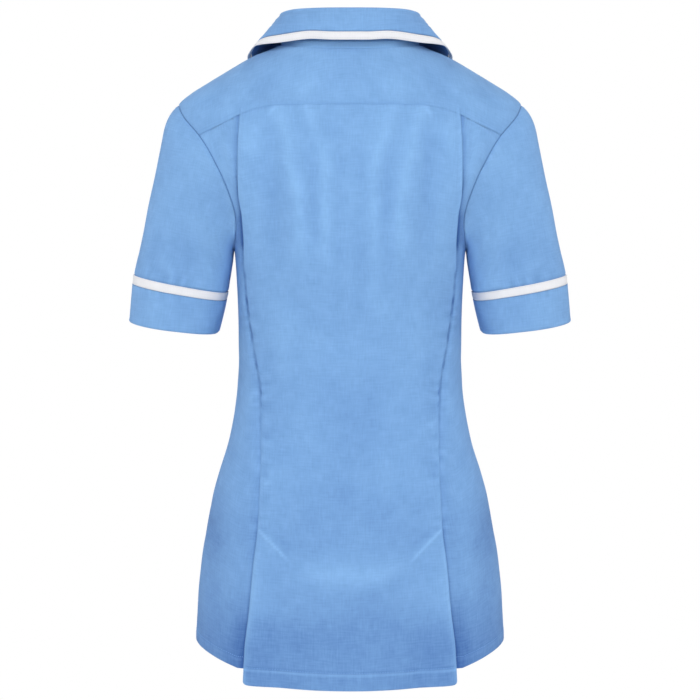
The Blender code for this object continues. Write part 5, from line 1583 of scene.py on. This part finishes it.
def cuff(turn):
    """A doubled cuff, the fold at its lower edge and the part turned in, and the white band."""
    radius = COLLAR_CLOTH + 2 * SEAM_GAP
    bottom = RINGS[-1][0] - radius
    by_band = BAND_WIDTH + SEAM_GAP + CUFF_EDGE_ROWS
    face_down = np.append(by_band, np.linspace(CUFF_FACE_FROM, bottom, CUFF_ROWS))
    around = np.radians(np.linspace(0, 180, FOLD_ROWS + 1)[1:])
    turned_down = np.linspace(bottom, bottom - CUFF_TURNED_IN, TURNED_ROWS + 1)[1:]
    down = np.concatenate([face_down, bottom + radius * np.sin(around), turned_down])[:, None]
    sunk = [0 * face_down, radius * (1 - np.cos(around)), 2 * radius + 0 * turned_down]
    off = CUFF_OFF - np.concatenate(sunk)[:, None]
    length_round = np.broadcast_to(turn[None] * RINGS[0][4], (len(down), len(turn)))
    from_foot = ease((bottom - down) / CUFF_FOOT_FADE + CUFF_FOOT_KEEPS)
    face = (off > CUFF_OFF - radius) * from_foot
    round_arm = np.degrees(turn)[None] / TURN_UNIT + 0 * down
    # tone is painted light and shade: lighter and darker with the cuff's waves and gathers, darker
    # along the band's edge and at the lower fold.
    height, tone = swell(length_round, down)
    waves, waves_tone = creases(CUFF_CREASES, round_arm, down, CUFF_CREASE_SCALE)
    grain, grain_tone = puckers(length_round, down - CUFF_GATHER_AT, *CUFF_GATHER)
    height = (height + waves + grain) * face * ease((down - BAND_WIDTH) / CUFF_BAND_FADE)
    tone = tone + waves_tone + grain_tone + lines(CUFF_LINES, down)[1]
    tone = tone + CUFF_FOOT_TONE * ease(1 - (bottom + radius - down) / CUFF_FOOT_WIDTH)
    grid = ring(down, turn[None], off)[::-1, ::-1]
    grid = grid + normals_of(grid, closed=True) * height[::-1, ::-1, None]
    tone = tone[::-1, ::-1]
    across = spread(BAND_ROWS)[:, None]
    band_height, band_tone = tape_relief(across, BAND_WIDTH)
    band = ring(across * BAND_WIDTH, turn[None], CUFF_OFF + band_height)[::-1, ::-1]
    band_tone = np.broadcast_to(band_tone, band.shape[:2])[::-1]
    for side, turned in (("left", False), ("right", True)):
        cuff_grid, cuff_tone = (mirrored(grid), tone[:, ::-1]) if turned else (grid, tone)
        cloth(f"cuff_{side}", cuff_grid, COLLAR_WALL, blue, cuff_tone, closed=True)
        band_grid = mirrored(band) if turned else band
        cloth(f"cuff_band_{side}", band_grid, BAND_WALL, white, band_tone, closed=True)
        sew_tape(band_grid, closed=True)


def tape_relief(share, width):
    """Height and tone of the white tape, share across it: its edges roll in, and along its edges
    and its two rows of sewing it lies lower and is painted darker, as painted shade."""
    edge = np.minimum(share, 1 - share) * width
    height, tone = lines(TAPE_LINES, edge)
    return height - roll(edge, *TAPE_ROLL), tone


def sew_tape(grid, closed):
    """Two rows of white stitches, each near one edge of a tape."""
    middle = grid.shape[1] // 2
    for distance in run_lengths(grid, 0):
        row = nearest_line(distance[:, middle], TAPE_STITCHING)
        sew(grid, row, onto=tape_sewing, closed=closed)


# ---------------------------------------------------------------- collar
def collar_at(name, along):
    """Three columns of the collar's table, as points."""
    return np.stack([read(COLLAR, COLLAR_COLUMNS, f"{name}_{axis}", along) for axis in "xyz"], -1)


def neck_seam(along):
    """The neck hole's edge, from the centre back, 0, by the neck corner, 1, to the collar's
    end, 2, the direction in the cloth across it into the hole, and the cloth's normal."""
    on_yoke = neck_places(NECK_COLUMNS)
    z = np.linspace(neck_corner_z(), -V_DEPTH, 400)
    z = z[neckline_x(z) >= COLLAR_END_X]
    on_front = places(angle_at_x(neckline_x(z), z, -1), z)
    line = np.concatenate([on_yoke[:-1], on_front])
    key = np.concatenate([np.linspace(0, 1, len(on_yoke))[:-1], np.linspace(1, 2, len(on_front))])

    def at(place):
        return np.stack([np.interp(place, key, line[:, i]) for i in (0, 1)], -1)

    angle, z = np.moveaxis(at(along), -1, 0)
    point = form_point(angle, z)
    normal = unit(cloth_point(angle, z, 1.0) - point)
    ahead = form_point(*np.moveaxis(at(np.minimum(along + NECK_SLOPE, 2)), -1, 0))
    behind = form_point(*np.moveaxis(at(np.maximum(along - NECK_SLOPE, 0)), -1, 0))
    way = ahead - behind
    way[along == 0] *= np.array((1, 0, 0))
    return point, unit(np.cross(way, normal)), normal


def collar():
    """Stand, fold and leaf in one, and the white tape on the leaf's edge. The stand is straight,
    the fold half a circle, and the leaf hollows a little between the fold and its edge."""
    behind = np.linspace(0, 1, COLLAR_BACK_COLUMNS + 1)
    before = np.linspace(1, 2, COLLAR_FRONT_COLUMNS + 1)
    along = np.concatenate([behind, before[1:]])
    seam, into, normal = neck_seam(along)
    clear = (COLLAR_CLEAR + COLLAR_CLEAR_MORE * ease(along - 1)[:, None]) * SEAM_GAP
    foot = seam + into * (COLLAR_CLOTH + clear) - normal * STAND_BELOW
    fold, edge = collar_at("fold", along), collar_at("edge", along)
    out = unit((edge - fold) * np.array((1, 1, 0)))
    up = np.array((0, 0, 1.0))
    centre = fold - up * FOLD_RADIUS
    inner_top, outer_top = centre - out * FOLD_RADIUS, centre + out * FOLD_RADIUS
    fall = edge - outer_top
    over = hump(along - 1, LEAF_TURN_WIDTH)[:, None]
    hollow = unit(np.cross(fall, np.cross(out, up))) * LEAF_HOLLOW * (1 - LEAF_TURN * over)
    length = np.linalg.norm(fall, axis=-1, keepdims=True)
    leaf_end = 1 - (COLLAR_BAND_WIDTH + 1.5 * SEAM_GAP) / length
    band_start = 1 - COLLAR_BAND_WIDTH / length

    def leaf(share):
        curl = LEAF_CURL * np.clip((share - 1 + CURL_SHARE) / CURL_SHARE, 0, 1) ** 2
        return outer_top + fall * share - hollow * 4 * share * (1 - share) - out * over * curl

    tall = float(np.linalg.norm(inner_top[0] - foot[0]))
    by_tape = STAND_BELOW + STAND_TAPE + GROOVE_ROWS
    stand = np.unique(np.append(np.linspace(0, 1, STAND_ROWS + 1), by_tape / tall))
    around = np.radians(np.linspace(0, 180, FOLD_TURN_ROWS + 1))[1:-1]
    leaf_shares = spread(LEAF_ROWS)
    rows = [blend(foot, inner_top, share) for share in stand]
    rows += [centre + FOLD_RADIUS * (up * math.sin(a) - out * math.cos(a)) for a in around]
    rows += [leaf(leaf_end * share) for share in leaf_shares]
    half = np.array(rows)

    # tone is painted light and shade: the stand is painted light where the leaf shades it, with
    # painted shade at its foot and in its tape's groove, and the leaf is darker in its troughs,
    # partway along, and beside the tape.
    height, tone = np.zeros(half.shape[:2]), np.zeros(half.shape[:2])
    line, line_tone = lines(STAND_LINES, stand * tall)
    height[: len(stand)], tone[: len(stand)] = line[:, None], STAND_PAINTED_LIGHT + line_tone[:, None]
    share, first = leaf_shares[:, None], len(stand) + len(around)
    sag, sag_tone = creases(COLLAR_CREASES, along[None] + 0 * share, share, COLLAR_CREASE_SCALE)
    to_band = (1 - share) * (length * leaf_end).T
    sag_fade = ease(share / LEAF_FOLD_FADE) * ease(to_band / LEAF_BAND_FADE)
    shaded = LEAF_SHADE * hump(along - LEAF_SHADE_AT, LEAF_SHADE_WIDTH)
    height[first:] = sag * sag_fade - roll(to_band, *LEAF_ROLL)
    tone[first:] = sag_tone * sag_fade + shaded + lines(LEAF_LINES, to_band)[1]
    # The rows run up the stand and down the leaf, so the stand's outer face looks outwards as
    # the leaf's inner face does.
    grid = both_halves(half)[:, ::-1]
    grid = grid + normals_of(grid) * both_tones(height)[:, ::-1, None]
    cloth("collar", grid, COLLAR_WALL, blue, both_tones(tone)[:, ::-1])
    shares = spread(BAND_ROWS)
    band = np.array([leaf(blend(band_start, 1, share)) for share in shares])
    grid = both_halves(band)[:, ::-1]
    height, _ = tape_relief(shares, COLLAR_BAND_WIDTH)
    _, band_tone = tape_relief(shares, BAND_WIDTH)
    grid = grid + normals_of(grid) * height[:, None, None]
    band_tone = np.broadcast_to(band_tone[:, None], grid.shape[:2])
    cloth("collar_band", grid, BAND_WALL, white, band_tone)
    sew_tape(grid, closed=False)


# ---------------------------------------------------------------- the whole tunic
sheets, sewing, tape_sewing = {}, [], []
turns_back, turns_yoke, turns_front = armhole_turns()

centre_back()
side_back()
front("front_left", 0.0)
front("front_right", CLOTH + 1.5 * SEAM_GAP)
yoke()
cuff(sleeve())
collar()
seam_stitches = stitches("hem_and_seam_stitches", sewing, blue_thread)
tape_stitches = stitches("band_stitches", tape_sewing, white_thread)

# ---------------------------------------------------------------- floor, light and camera
def area_light(name, place, size, power):
    """A rectangular lamp turned to the tunic's middle."""
    lamp = bpy.data.lights.new(name, "AREA")
    lamp.shape = "RECTANGLE"
    lamp.size, lamp.size_y = size
    lamp.energy = power
    light = new_object(name, lamp)
    light.location = place
    way = Vector(LIGHT_AIM) - Vector(place)
    light.rotation_euler = way.to_track_quat("-Z", "Y").to_euler()


around = np.linspace(0, 2 * math.pi, FLOOR_SIDES + 1)[:-1]
rim = np.stack([FLOOR_RADIUS * np.cos(around), FLOOR_RADIUS * np.sin(around)], -1)
floor_mesh = bpy.data.meshes.new("floor")
floor_mesh.from_pydata([(x, y, FLOOR_Z) for x, y in rim.tolist()], [], [list(range(len(rim)))])
pale, _ = new_material("pale_floor", ("Base Color", PALE), ("Roughness", 0.7))
floor_mesh.materials.append(pale)
floor = new_object("floor", floor_mesh)

# The main light is behind the wearer, where the camera is, and its twin lights the front.
area_light("back_light", (0.0, LIGHT_REACH, LIGHT_HEIGHT), LARGE_LAMP, BACK_LIGHT)
area_light("front_light", (0.0, -LIGHT_REACH, LIGHT_HEIGHT), LARGE_LAMP, BACK_LIGHT)
for side in (-1, 1):
    for ahead in (-1, 1):
        place = (side * SIDE_REACH, ahead * SIDE_BACK, SIDE_HEIGHT)
        area_light("side_light", place, SIDE_LAMP, SIDE_LIGHT)

# Even light from all round, which the camera sees as white.
world = bpy.data.worlds.new("studio")
bpy.context.scene.world = world
world.use_nodes = True
nodes, links = world.node_tree.nodes, world.node_tree.links
nodes.clear()
seen, unseen = nodes.new("ShaderNodeBackground"), nodes.new("ShaderNodeBackground")
fill(seen, ("Color", WHITE))
fill(unseen, ("Color", WHITE), ("Strength", SURROUND))
path, mix = nodes.new("ShaderNodeLightPath"), nodes.new("ShaderNodeMixShader")
world_out = nodes.new("ShaderNodeOutputWorld")
links.new(path.outputs["Is Camera Ray"], mix.inputs["Fac"])
links.new(unseen.outputs["Background"], mix.inputs[1])
links.new(seen.outputs["Background"], mix.inputs[2])
links.new(mix.outputs["Shader"], world_out.inputs["Surface"])
bpy.context.scene.view_settings.view_transform = "Standard"

eye = new_object("camera", bpy.data.cameras.new("camera"))
eye.location = (0.0, CAMERA_BACK, CAMERA_Z)
eye.rotation_euler = (math.radians(90), 0, math.radians(180))
eye.data.sensor_width = 36.0
eye.data.lens = CAMERA_LENS
eye.data.clip_end = 50
bpy.context.scene.camera = eye
